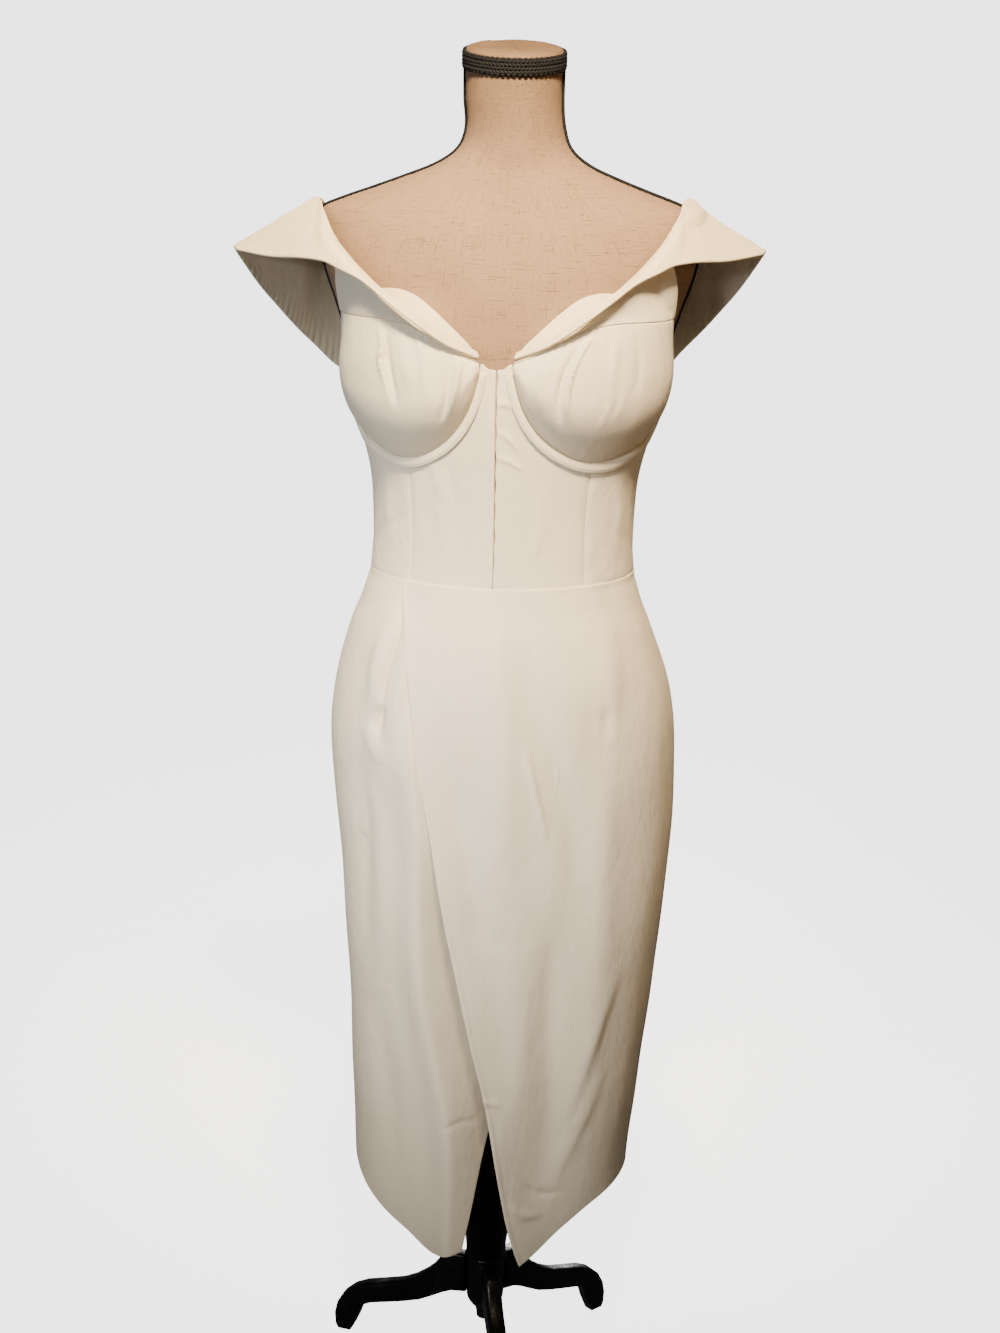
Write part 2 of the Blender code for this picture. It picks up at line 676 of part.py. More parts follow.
def form():
    """Canvas torso: level sections from the hip to the neck, with a tilted flat top."""
    around = 32
    mesh = bpy.data.meshes.new("form_torso")
    points = []
    for z in FORM_ROWS:
        inset = 0.003 if z == FORM_BOTTOM_Z else 0.0
        points += [skin(2 * math.pi * k / around, z, -FORM_IN - inset, busted=True) for k in range(around)]
    for inset, rise in ((0.0, 0.0), (0.004, 0.002)):
        for k in range(around):
            u = 2 * math.pi * k / around
            rim = skin(u, NECK_TOP_Z, -FORM_IN - inset)
            rim.z = NECK_TOP_Z + rise + rim.y * NECK_TILT
            points.append(rim)
    rings = len(points) // around
    faces = [(r * around + k, r * around + (k + 1) % around,
              (r + 1) * around + (k + 1) % around, (r + 1) * around + k)
             for r in range(rings - 1) for k in range(around)]
    faces.append(tuple(reversed(range(around))))
    faces.append(tuple(range((rings - 1) * around, rings * around)))
    mesh.from_pydata(points, [], faces)
    place("form_torso", mesh, CANVAS)


def neck_trim():
    """Braid round the top of the neck, following its tilt."""
    around = 36
    points = []
    for height in (-TRIM_HEIGHT, -TRIM_HEIGHT / 2, 0.0):
        for k in range(around):
            u = 2 * math.pi * k / around
            rim = skin(u, NECK_TOP_Z, TRIM_CLOTH / 2)
            rim.z = NECK_TOP_Z + height + rim.y * NECK_TILT
            points.append(rim)
    faces = [(r * around + k, r * around + (k + 1) % around,
              (r + 1) * around + (k + 1) % around, (r + 1) * around + k)
             for r in range(2) for k in range(around)]
    mesh = bpy.data.meshes.new("neck_trim")
    mesh.from_pydata(points, [], faces)
    thing = place("neck_trim", mesh, BLACK_BRAID)
    wall = thing.modifiers.new("Braid thickness", "SOLIDIFY")
    wall.thickness = TRIM_CLOTH
    wall.offset = 0


def piping(side_name, side):
    """Piping over the shoulder and down the side to the top of the dress."""
    radius = PIPING_RADIUS[side_name]
    curve = bpy.data.curves.new("piping_" + side_name, "CURVE")
    curve.dimensions = "3D"
    curve.bevel_depth = radius
    curve.bevel_resolution = 1
    curve.use_fill_caps = True
    spline = curve.splines.new("POLY")
    spline.points.add(len(PIPING_ROWS) - 1)
    for point, z in zip(spline.points, PIPING_ROWS):
        point.co = (*skin(side * math.pi / 2, z, radius), 1)
    curve.materials.append(BLACK_BRAID)
    thing = bpy.data.objects.new("piping_" + side_name, curve)
    collection.objects.link(thing)
    thing.parent = axis


def leg(name, bearing_deg):
    """Cabriole leg: a flat outline with rounded edges, standing on the flat of its foot."""
    curve = bpy.data.curves.new(name, "CURVE")
    curve.dimensions = "2D"
    curve.fill_mode = "BOTH"
    curve.extrude = LEG_WIDTH / 2 - LEG_ROUND
    curve.bevel_depth = LEG_ROUND
    curve.offset = -LEG_ROUND
    curve.bevel_resolution = 1
    curve.resolution_u = 1
    spline = curve.splines.new("POLY")
    spline.points.add(len(LEG_OUTLINE) - 1)
    for point, (r, z) in zip(spline.points, LEG_OUTLINE):
        point.co = (r, z, 0, 1)
    spline.use_cyclic_u = True
    curve.materials.append(BLACK_WOOD)
    thing = bpy.data.objects.new(name, curve)
    collection.objects.link(thing)
    thing.parent = axis
    thing.rotation_euler = (math.pi / 2, 0, math.radians(bearing_deg))


for side_name, side in SIDES:
    bodice_front(side_name, side)
    bodice_back(side_name, side)
    cup(side_name, side)
    collar(side_name, side)
    piping(side_name, side)
placket()
skirt()
form()
neck_trim()
turned_solid("stand_column", COLUMN_PROFILE, BLACK_WOOD)
turned_solid("stand_hub", HUB_PROFILE, BLACK_WOOD)
for name, bearing_deg in LEGS:
    leg(name, bearing_deg)
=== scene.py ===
"""Looks of an ivory off-shoulder wrap dress, worn by a canvas dress form on a black turned stand.

Left and right are the viewer's. All sizes are metres, and Z is up from the floor.
"""
import math

import bmesh
import bpy
import numpy as np
from mathutils import Matrix, Vector


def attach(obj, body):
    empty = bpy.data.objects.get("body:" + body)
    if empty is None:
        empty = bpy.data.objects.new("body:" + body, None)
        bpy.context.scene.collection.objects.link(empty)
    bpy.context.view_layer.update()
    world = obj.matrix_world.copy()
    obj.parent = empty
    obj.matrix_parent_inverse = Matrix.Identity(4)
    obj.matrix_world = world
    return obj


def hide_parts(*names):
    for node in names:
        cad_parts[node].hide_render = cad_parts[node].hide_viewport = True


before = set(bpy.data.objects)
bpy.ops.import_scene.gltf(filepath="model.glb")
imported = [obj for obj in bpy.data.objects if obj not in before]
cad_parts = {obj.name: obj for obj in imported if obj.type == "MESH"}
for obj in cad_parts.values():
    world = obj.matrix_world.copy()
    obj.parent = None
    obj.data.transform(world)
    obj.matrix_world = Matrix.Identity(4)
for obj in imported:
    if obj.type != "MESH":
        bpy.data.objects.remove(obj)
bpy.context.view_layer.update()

# The view and the room. The photograph was taken from a step away at chest height, tipped down and turned by
# a degree. A pale, evenly bright floor runs up into a round backdrop. Warm light from above falls on the bust
# and fades towards the hem, with daylight from the front left and from behind, and a small lamp on the right.
COLUMN = Vector((0.0095, 0.0175, 0.0))
EYE_HEIGHT, EYE_DISTANCE = 1.200, 1.865
EYE_TIP, EYE_ROLL = math.radians(90 - 13.7), math.radians(1.39)
LENS_MM, SENSOR_MM = 54, 36

camera = bpy.data.objects.new("Camera", bpy.data.cameras.new("Camera"))
camera.data.lens = LENS_MM
camera.data.sensor_width = SENSOR_MM
camera.matrix_world = (Matrix.Translation(COLUMN + Vector((0, -EYE_DISTANCE, EYE_HEIGHT)))
                       @ Matrix.Rotation(EYE_TIP, 4, "X") @ Matrix.Rotation(EYE_ROLL, 4, "Z"))
bpy.context.scene.collection.objects.link(camera)
bpy.context.scene.camera = camera

FLOOR_RADIUS, COVE, BACKDROP_HEIGHT = 5.0, 2.0, 6.0
FLOOR_BELOW_FEET, STEPS_ROUND = 0.0004, 64
sweep = [(0.02, 0.0), (1.0, 0.0), (3.0, 0.0)]
sweep += [(FLOOR_RADIUS + COVE * math.sin(a), COVE - COVE * math.cos(a)) for a in np.linspace(0, math.pi / 2, 12)]
sweep += [(FLOOR_RADIUS + COVE, BACKDROP_HEIGHT)]
floor_mesh = bpy.data.meshes.new("floor_and_backdrop")
floor_mesh.from_pydata(
    [(r * math.cos(2 * math.pi * k / STEPS_ROUND), r * math.sin(2 * math.pi * k / STEPS_ROUND), z - FLOOR_BELOW_FEET)
     for r, z in sweep for k in range(STEPS_ROUND)], [],
    [(i * STEPS_ROUND + k, (i + 1) * STEPS_ROUND + k, (i + 1) * STEPS_ROUND + (k + 1) % STEPS_ROUND,
      i * STEPS_ROUND + (k + 1) % STEPS_ROUND) for i in range(len(sweep) - 1) for k in range(STEPS_ROUND)]
    + [tuple(range(STEPS_ROUND))])
floor_mesh.shade_smooth()
floor = bpy.data.objects.new("floor_and_backdrop", floor_mesh)
floor.visible_diffuse = False
floor.visible_glossy = False
bpy.context.scene.collection.objects.link(floor)

for name, place, aim, size, spread, power, colour in (
        # name, place, aim, size, spread, watts, colour
        ("window_above", (0.06, -1.10, 2.30), (0.0, 0.0, 1.15), 0.35, 36, 7.0, (1.0, 0.78, 0.50)),
        ("window_front", (-0.80, -1.60, 1.25), (0.0, 0.0, 0.60), 0.35, 34, 1.9, (1.0, 0.97, 0.95)),
        ("window_left", (-2.2, -1.2, 1.4), (0.0, 0.0, 1.18), 0.9, 30, 0.8, (0.66, 0.83, 1.0)),
        ("lamp_right", (1.9, -0.9, 1.3), (0.0, 0.0, 0.95), 0.8, 40, 0.50, (1.0, 0.62, 0.30)),
        ("window_behind", (0.3, 2.6, 0.95), (0.0, 0.0, 0.8), 1.0, 60, 10.0, (1.0, 0.98, 0.95))):
    lamp = bpy.data.lights.new(name, "AREA")
    lamp.shape = "DISK"
    lamp.size = size
    lamp.spread = math.radians(spread)
    lamp.energy = power
    lamp.color = colour
    light = bpy.data.objects.new(name, lamp)
    light.location = place
    light.rotation_euler = (Vector(aim) - Vector(place)).to_track_quat("-Z", "Y").to_euler()
    light.visible_camera = False
    bpy.context.scene.collection.objects.link(light)

sky = bpy.data.worlds.new("room")
sky.use_nodes = True
sky.node_tree.nodes["Background"].inputs["Color"].default_value = (0.97, 0.98, 1.0, 1)
sky.node_tree.nodes["Background"].inputs["Strength"].default_value = 0.06
bpy.context.scene.world = sky


class Strand:
    """An output socket of a finish, on which arithmetic adds Math nodes."""

    def __init__(self, finish, socket):
        self.finish = finish
        self.socket = socket

    def maths(self, operation, *values):
        """Result of one Math node on numbers or other outputs."""
        sockets = dict(enumerate(values))
        return self.finish.node("ShaderNodeMath", {"operation": operation}, sockets)

    def __add__(self, other):
        return self.maths("ADD", self, other)

    def __mul__(self, other):
        return self.maths("MULTIPLY", self, other)

    __radd__ = __add__
    __rmul__ = __mul__

    def between(self, low, high):
        """0 below low and 1 above high, smooth between."""
        return self.finish.node("ShaderNodeMapRange", {"interpolation_type": "SMOOTHSTEP"},
                                {"Value": self, "From Min": low, "From Max": high})


class Finish:
    """A material, with one method that makes any node in it."""

    def __init__(self, name, **constants):
        self.material = bpy.data.materials.new(name)
        self.material.use_nodes = True
        self.tree = self.material.node_tree
        self.shader = self.tree.nodes["Principled BSDF"]
        for socket, value in constants.items():
            self.shader.inputs[socket.replace("_", " ")].default_value = value

    def join(self, value, socket):
        """Link an output to a socket, or set a constant on it."""
        if isinstance(value, Strand):
            self.tree.links.new(value.socket, socket)
        else:
            socket.default_value = value

    def node(self, kind, settings=None, sockets=None, output=0):
        """Any node: its settings are set first, then its sockets are set or linked."""
        node = self.tree.nodes.new(kind)
        for key, value in (settings or {}).items():
            if key == "stops":
                ramp = node.color_ramp.elements
                for k, (at, colour) in enumerate(value):
                    stop = ramp[k] if k < len(ramp) else ramp.new(at)
                    stop.position = at
                    stop.color = (*colour, 1)
            else:
                setattr(node, key, value)
        for key, value in (sockets or {}).items():
            self.join(value, node.inputs[key])
        return Strand(self, node.outputs[output])

    def place(self, uv=True):
        """Where a point is: on its own cloth, or in the object's frame."""
        return self.node("ShaderNodeTexCoord", output=2 if uv else 3)

    def stretched(self, where, scale, turn=0.0):
        """Places stretched, and turned about Z, before a pattern reads them."""
        return self.node("ShaderNodeMapping", None, {"Vector": where, "Scale": scale, "Rotation": (0, 0, turn)})

    def noise(self, where, scale, detail=2.0, rough=0.5):
        """Random cloudiness from 0 to 1, the same on every run."""
        return self.node("ShaderNodeTexNoise", None,
                         {"Vector": where, "Scale": scale, "Detail": detail, "Roughness": rough})

    def blend(self, share, low, high):
        """Colour between two others."""
        low, high = ((*c, 1) if isinstance(c, tuple) else c for c in (low, high))
        return self.node("ShaderNodeMix", {"data_type": "RGBA"}, {0: share, 6: low, 7: high}, output=2)

    def relief(self, height, depth, before=None):
        """Normal of a surface raised by a height of 0 to 1, times a depth."""
        sockets = {"Height": height, "Distance": depth, "Strength": 1.0}
        if before is not None:
            sockets["Normal"] = before
        return self.node("ShaderNodeBump", None, sockets)

    def paint(self, **sockets):
        """Give the shader its patterns, and hand back the finished material."""
        for socket, value in sockets.items():
            self.join(value, self.shader.inputs[socket.replace("_", " ")])
        return self.material


plain_floor = Finish("pale_floor", Roughness=0.85, Emission_Strength=3.2, Emission_Color=(1, 1, 1, 1))
floor_where = plain_floor.place(uv=False)
floor_tone = plain_floor.blend(plain_floor.noise(floor_where, 1.5), (0.80, 0.80, 0.80), (0.84, 0.84, 0.835))
floor.data.materials.append(plain_floor.paint(Base_Color=floor_tone))


# Dress form. Linen canvas pulled over a moulded torso with a neck and a low bust, with a soft canvas cap on
# the slanted top of the neck. Its level sections also place every piece of the dress that it wears.
CLOTH, CLEAR, FORM_IN = 0.0016, 0.0006, 0.0009
LAYER = CLEAR + CLOTH / 2
BODY_RADIUS = 0.125
DRESS_X, DRESS_TURN = -0.0095, -0.100
FORM_BOTTOM_Z, NECK_TOP_Z, NECK_TILT = 0.6000, 1.312, 0.21
BODY = (
    # z, half, front, back, power, shift
    (0.150, 0.1300, 0.0980, 0.1040, 2.10, 0.003),
    (0.240, 0.1345, 0.1000, 0.1060, 2.10, 0.003),
    (0.330, 0.1400, 0.1030, 0.1100, 2.10, 0.005),
    (0.430, 0.1473, 0.1060, 0.1150, 2.10, 0.008),
    (0.540, 0.1558, 0.1100, 0.1220, 2.10, 0.009),
    (0.620, 0.1608, 0.1120, 0.1270, 2.10, 0.007),
    (0.690, 0.1628, 0.1120, 0.1280, 2.15, 0.004),
    (0.740, 0.1550, 0.1090, 0.1220, 2.15, 0.002),
    (0.790, 0.1398, 0.1010, 0.1100, 2.10, 0.000),
    (0.815, 0.1296, 0.0950, 0.1010, 2.05, 0.000),
    (0.840, 0.1226, 0.0910, 0.0950, 2.00, 0.000),
    (0.865, 0.1198, 0.0900, 0.0930, 2.00, 0.000),
    (0.900, 0.1200, 0.0910, 0.0930, 2.00, 0.000),
    (0.935, 0.1228, 0.0940, 0.0950, 2.05, 0.000),
    (0.970, 0.1310, 0.0980, 0.0990, 2.10, 0.000),
    (1.000, 0.1400, 0.1010, 0.1020, 2.20, 0.000),
    (1.030, 0.1460, 0.1020, 0.1040, 2.25, 0.000),
    (1.060, 0.1500, 0.1010, 0.1040, 2.30, 0.000),
    (1.090, 0.1590, 0.0970, 0.1020, 2.35, 0.000),
    (1.120, 0.1690, 0.0910, 0.0980, 2.35, 0.000),
    (1.150, 0.1735, 0.0810, 0.0900, 2.30, 0.000),
    (1.172, 0.1715, 0.0690, 0.0790, 2.20, 0.000),
    (1.181, 0.1520, 0.0635, 0.0735, 2.10, 0.000),
    (1.190, 0.1270, 0.0580, 0.0670, 2.10, 0.000),
    (1.200, 0.1000, 0.0530, 0.0600, 2.10, 0.000),
    (1.212, 0.0710, 0.0485, 0.0540, 2.05, 0.001),
    (1.226, 0.0520, 0.0465, 0.0500, 2.00, 0.002),
    (1.245, 0.0445, 0.0455, 0.0485, 2.00, 0.002),
    (1.270, 0.0440, 0.0455, 0.0475, 2.00, 0.000),
    (1.330, 0.0450, 0.0460, 0.0470, 2.00, 0.000),
)


def read(table, at):
    """Later columns of a table at values of its first column, on smooth curves through the rows."""
    rows = np.asarray(table, float)
    at = np.asarray(at, float)
    key, last = rows[:, 0], len(rows) - 1
    i = np.searchsorted(key[1:-1], at, side="left")
    before, low, high, after = (rows[np.clip(i + k, 0, last)] for k in (-1, 0, 1, 2))
    span = high[..., :1] - low[..., :1]
    t = (at[..., None] - low[..., :1]) / span
    rise_low = (high - before) / (high[..., :1] - before[..., :1]) * span
    rise_high = (after - low) / (after[..., :1] - low[..., :1]) * span
    step = high - low
    curve = (low + t * rise_low + t ** 2 * (3 * step - 2 * rise_low - rise_high)
             + t ** 3 * (rise_low + rise_high - 2 * step))
    return np.moveaxis(curve[..., 1:], -1, 0)


def ramp(value, low, high):
    """0 below low, 1 above high, smooth between."""
    t = np.clip((value - low) / (high - low), 0, 1)
    return t * t * (3 - 2 * t)


def section(u, z):
    """Point of the bare body at the bearing u (0 at the front, + to the viewer's right) and height z."""
    u, z = np.broadcast_arrays(np.asarray(u, float), np.asarray(z, float))
    half, front, back, power, shift = read(BODY, z)
    depth = np.where(np.cos(u) > 0, front, back)
    radius = (np.abs(np.sin(u) / half) ** power + np.abs(np.cos(u) / depth) ** power) ** (-1 / power)
    return np.stack([shift + radius * np.sin(u), -radius * np.cos(u), z], -1)


def bearing(x, z):
    """Bearing of the point of the body's front that shows at x."""
    half, front, _, power, shift = read(BODY, z)
    side = np.minimum(np.abs(x - shift) / half, 0.9999)
    return np.copysign(np.arctan2(side * half, front * (1 - side ** power) ** (1 / power)), x - shift)


def bust(x, z):
    """Height of the form's own low bust, which the cups cover."""
    across = (np.abs(x - DRESS_X) - 0.080) / 0.062
    up = (z - 1.040) / 0.070
    return 0.018 * np.maximum(0.0, 1 - across * across - up * up) ** 2


def facing(u, z):
    """Points of the bare body and the directions straight out from them."""
    across = section(u + 0.01, z) - section(u - 0.01, z)
    rise = section(u, z + 0.0015) - section(u, z - 0.0015)
    out = np.cross(across, rise)
    return section(u, z), out / np.linalg.norm(out, axis=-1, keepdims=True)


def skin(u, z, out, busted=False):
    """Points out from the body along its normals."""
    here, normal = facing(np.asarray(u, float), np.asarray(z, float))
    lift = np.where(np.cos(u) > 0, bust(here[..., 0], here[..., 2]), 0.0) if busted else 0.0
    return here + normal * np.asarray(out + lift)[..., None]


def piece(name, points, faces, uv, material, smooth_below=60):
    """A finished object from points (already in the part's frame), faces and the points' cloth map."""
    mesh = bpy.data.meshes.new(name)
    mesh.from_pydata(points.tolist(), [], faces)
    mesh.materials.append(material)
    layer = mesh.uv_layers.new(name="cloth")
    corners = np.zeros(len(mesh.loops), int)
    mesh.loops.foreach_get("vertex_index", corners)
    layer.data.foreach_set("uv", np.asarray(uv, float)[corners].ravel())
    mesh.shade_smooth()
    mesh.set_sharp_from_angle(angle=math.radians(smooth_below))
    thing = bpy.data.objects.new(name, mesh)
    bpy.context.scene.collection.objects.link(thing)
    return thing


def standing(points):
    """Points of the design frame, whose axis is the column, in the part's frame."""
    return np.asarray(points) + np.array(COLUMN)


def close_seam(thing):
    """Join the two edges of a wrapped cloth where they meet. Each keeps its own cloth map."""
    shape = bmesh.new()
    shape.from_mesh(thing.data)
    bmesh.ops.remove_doubles(shape, verts=shape.verts, dist=0.00002)
    shape.to_mesh(thing.data)
    shape.free()


canvas = Finish("linen_canvas", Roughness=0.95, Sheen_Weight=0.03, Specular_IOR_Level=0.12)
canvas_uv = canvas.place()
warp = canvas.noise(canvas.stretched(canvas_uv, (1500, 90, 1)), 1.0, 2.0, 0.6)
weft = canvas.noise(canvas.stretched(canvas_uv, (90, 1500, 1)), 1.0, 2.0, 0.6)
slubs = canvas.noise(canvas.stretched(canvas_uv, (35, 900, 1)), 1.0, 3.0, 0.65).between(0.60, 0.72)
slubs_up = canvas.noise(canvas.stretched(canvas_uv, (900, 30, 1)), 1.0, 3.0, 0.65).between(0.61, 0.72)
specks = canvas.noise(canvas_uv, 300, 1.0).between(0.680, 0.730)
patches = canvas.noise(canvas_uv, 14, 3.0)
canvas_tone = canvas.blend((warp + weft) * 0.5, (0.212, 0.130, 0.078), (0.375, 0.245, 0.152))
canvas_tone = canvas.blend(patches.between(0.38, 0.66) * 0.35, canvas_tone, (0.33, 0.22, 0.14))
canvas_tone = canvas.blend((slubs + slubs_up) * 0.16, canvas_tone, (0.50, 0.35, 0.23))
canvas_tone = canvas.blend(specks * 0.45, canvas_tone, (0.14, 0.10, 0.08))
# Painted shade: the canvas darkens up the neck from the shoulders, and more again on the cap at its top.
canvas_height = canvas.node("ShaderNodeSeparateXYZ", None, {0: canvas.place(uv=False)}, output=2)
painted_neck_shade = canvas_height.between(1.17, 1.31) * 0.32 + canvas_height.between(1.300, 1.316) * 0.34
canvas_tone = canvas.blend(painted_neck_shade, canvas_tone, (0.085, 0.046, 0.022))
canvas_relief = canvas.relief(warp + weft + slubs + slubs_up, 0.0005)
CANVAS = canvas.paint(Base_Color=canvas_tone, Normal=canvas_relief)

AROUND, CAP_LUMPS = 144, 0.0009
HEM_TUCK = {FORM_BOTTOM_Z: 0.003, 0.6008: 0.0012}
CAP_RINGS = (
    # inset, rise over the slanted top of the neck
    (0.0, 0.0),
    (0.0012, 0.0022),
    (0.004, 0.0030),
    (0.010, 0.0032),
    (0.018, 0.0024),
    (0.028, 0.0030),
    (0.038, 0.0026),
)
ring_heights = np.concatenate([[FORM_BOTTOM_Z, 0.6008, 0.6025], np.arange(0.608, 1.160, 0.006),
                               np.arange(1.160, 1.236, 0.002), np.arange(1.240, 1.304, 0.006)])
bearings = np.linspace(-math.pi, math.pi, AROUND + 1)
form_rings = []
for z in ring_heights:
    tuck = HEM_TUCK.get(z, 0.0)
    ring = skin(bearings, np.full(AROUND + 1, z), -FORM_IN - tuck, busted=True)
    ring[:, 2] += ramp(z, 1.26, 1.304) * ring[:, 1] * NECK_TILT
    form_rings.append(ring)
for inset, rise in CAP_RINGS:
    ring = skin(bearings, np.full(AROUND + 1, NECK_TOP_Z), -FORM_IN - inset)
    lumps = np.sin(5 * bearings + 60 * inset) + 0.7 * np.sin(8 * bearings + 1.3)
    lumps = CAP_LUMPS * lumps * ramp(inset, 0.0, 0.012) * (1 - ramp(inset, 0.026, 0.040))
    ring[:, 2] = NECK_TOP_Z + rise + ring[:, 1] * NECK_TILT + lumps
    form_rings.append(ring)
form_points = np.concatenate(form_rings)
count, around = len(form_rings), AROUND + 1
form_faces = [(r * around + k, r * around + k + 1, (r + 1) * around + k + 1, (r + 1) * around + k)
              for r in range(count - 1) for k in range(AROUND)]
crown = form_points[-around:-1].mean(0)
base = form_points[:AROUND].mean(0)
form_points = np.concatenate([form_points, [crown, base]])
top_first, crown_at, base_at = (count - 1) * around, count * around, count * around + 1
form_faces += [(top_first + k, top_first + k + 1, crown_at) for k in range(AROUND)]
form_faces += [(k + 1, k, base_at) for k in range(AROUND)]
form_uv = np.stack([np.tile(bearings * BODY_RADIUS, count),
                    np.repeat(np.concatenate([ring_heights, 1.31 + 0.006 * np.arange(7)]), around)], -1)
form_uv = np.concatenate([form_uv, [[0, 1.36], [0, 0.56]]])
form = piece("canvas_torso", standing(form_points), form_faces, form_uv, CANVAS)
close_seam(form)
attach(form, "root")
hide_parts("form_torso")


# Piping and braid of the form. A black cord covers the canvas's seam over each shoulder and down each side,
# and a plaited black braid, scalloped along both edges, is glued round the top of the neck.
TRIM_HEIGHT = 0.0145
TRIM_SECTION = (
    # share of the height, out from the canvas
    (0.0, -0.0006),
    (0.0, 0.0006),
    (-0.25, 0.0013),
    (-0.5, 0.0009),
    (-0.75, 0.0013),
    (-1.0, 0.0006),
    (-1.0, -0.0006),
)
PIPING_RADIUS = {"left": 0.0014, "right": 0.0017}
PIPING_TOP, PIPING_LOW = 1.297, 1.044
SIDES = (("left", -1), ("right", 1))

braid_finish = Finish("black_braid", Roughness=0.70, Specular_IOR_Level=0.12)
braid_where = braid_finish.place(uv=False)
braid_thread = braid_finish.noise(braid_where, 900, 2.0)
braid_tone = braid_finish.blend(braid_thread, (0.004, 0.004, 0.005), (0.016, 0.016, 0.018))
BLACK_BRAID = braid_finish.paint(Base_Color=braid_tone, Normal=braid_finish.relief(braid_thread, 0.0004))


def bead_tree():
    """Tree that lays beads along a line, each lying on the surface that the line runs over."""
    tree = bpy.data.node_groups.new("Beads along a line", "GeometryNodeTree")
    tree.interface.new_socket("Geometry", in_out="OUTPUT", socket_type="NodeSocketGeometry")
    tree.interface.new_socket("Geometry", in_out="INPUT", socket_type="NodeSocketGeometry")
    for socket in ("Pitch", "Length", "Width", "Height", "Turn"):
        tree.interface.new_socket(socket, in_out="INPUT", socket_type="NodeSocketFloat")
    tree.interface.new_socket("Material", in_out="INPUT", socket_type="NodeSocketMaterial")
    tree.interface.new_socket("Rings", in_out="INPUT", socket_type="NodeSocketInt")

    def add(kind, settings=None, **inputs):
        node = tree.nodes.new(kind)
        for key, value in (settings or {}).items():
            setattr(node, key, value)
        for key, value in inputs.items():
            socket = node.inputs[key.replace("_", " ")]
            if isinstance(value, bpy.types.NodeSocket):
                tree.links.new(value, socket)
            else:
                socket.default_value = value
        return node

    given = add("NodeGroupInput").outputs
    line = add("GeometryNodeMeshToCurve", Mesh=given["Geometry"]).outputs[0]
    even = add("GeometryNodeResampleCurve", {"mode": "LENGTH"}, Curve=line, Length=given["Pitch"]).outputs[0]
    out = add("GeometryNodeInputNamedAttribute", {"data_type": "FLOAT_VECTOR"}, Name="out").outputs[0]
    run = add("GeometryNodeInputTangent").outputs[0]
    lying = add("FunctionNodeAlignRotationToVector", {"axis": "Z"}, Vector=out).outputs[0]
    lying = add("FunctionNodeAlignRotationToVector", {"axis": "X", "pivot_axis": "Z"}, Rotation=lying,
                Vector=run).outputs[0]
    turn = add("FunctionNodeAxisAngleToRotation", Axis=(0, 0, 1), Angle=given["Turn"]).outputs[0]
    lying = add("FunctionNodeRotateRotation", {"rotation_space": "LOCAL"}, Rotation=lying,
                Rotate_By=turn).outputs[0]
    ball = add("GeometryNodeMeshUVSphere", Segments=8, Rings=given["Rings"], Radius=0.5).outputs[0]
    size = add("ShaderNodeCombineXYZ", X=given["Length"], Y=given["Width"], Z=given["Height"]).outputs[0]
    bead = add("GeometryNodeTransform", Geometry=ball, Scale=size).outputs[0]
    laid = add("GeometryNodeInstanceOnPoints", Points=even, Instance=bead, Rotation=lying).outputs[0]
    real = add("GeometryNodeRealizeInstances", Geometry=laid).outputs[0]
    done = add("GeometryNodeSetMaterial", Geometry=real, Material=given["Material"]).outputs[0]
    tree.links.new(done, add("NodeGroupOutput").inputs[0])
    return tree


BEADS = bead_tree()


def beads(name, lines, material, pitch, length, width, height, turn=0.0, rings=5):
    """Plain mesh of the beads along some lines, each a pair of points and outward directions."""
    points, outs, edges = [], [], []
    for line, out in lines:
        first = len(points)
        points += [tuple(p) for p in line]
        outs += [tuple(v) for v in out]
        edges += [(first + k, first + k + 1) for k in range(len(line) - 1)]
    mesh = bpy.data.meshes.new(name + "_line")
    mesh.from_pydata(points, edges, [])
    attribute = mesh.attributes.new("out", "FLOAT_VECTOR", "POINT")
    attribute.data.foreach_set("vector", np.asarray(outs, float).ravel())
    thing = bpy.data.objects.new(name, mesh)
    bpy.context.scene.collection.objects.link(thing)
    run = thing.modifiers.new("Beads", "NODES")
    run.node_group = BEADS
    values = {"Pitch": pitch, "Length": length, "Width": width, "Height": height, "Turn": turn,
              "Material": material, "Rings": rings}
    for item in BEADS.interface.items_tree:
        if item.in_out == "INPUT" and item.name in values:
            run[item.identifier] = values[item.name]
    bpy.context.view_layer.update()
    made = bpy.data.meshes.new_from_object(thing.evaluated_get(bpy.context.evaluated_depsgraph_get()))
    thing.modifiers.clear()
    thing.data = made
    made.name = name
    made.shade_smooth()
    return thing


def neck_line(height, out):
    """Closed line round the top of the neck, and the directions out from it."""
    around = np.linspace(0, 2 * math.pi, 181)
    line = skin(around, np.full(181, NECK_TOP_Z), out)
    line[:, 2] = NECK_TOP_Z + height + line[:, 1] * NECK_TILT
    return standing(line), facing(around, np.full(181, NECK_TOP_Z))[1]


trim_rows = []
for height, out in TRIM_SECTION:
    trim_rows.append(neck_line(height * TRIM_HEIGHT, out)[0][:-1])
trim_points = np.concatenate(trim_rows)
per_ring, trim_count = len(trim_rows[0]), len(trim_rows)
trim_faces = [(r * per_ring + k, ((r + 1) % trim_count) * per_ring + k,
               ((r + 1) % trim_count) * per_ring + (k + 1) % per_ring, r * per_ring + (k + 1) % per_ring)
              for r in range(trim_count) for k in range(per_ring)]
trim = piece("neck_braid", trim_points, trim_faces, np.zeros((len(trim_points), 2)), BLACK_BRAID, 80)
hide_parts("neck_trim")
plait = [trim]
for label, height, turn in (("upper", -0.0026, 0.55), ("middle_upper", -0.0057, -0.55),
                            ("middle_lower", -0.0088, 0.55), ("lower", -0.0119, -0.55)):
    plait.append(beads("neck_braid_" + label, [neck_line(height, 0.0013)], BLACK_BRAID,
                       0.0036, 0.0062, 0.0030, 0.0028, turn))
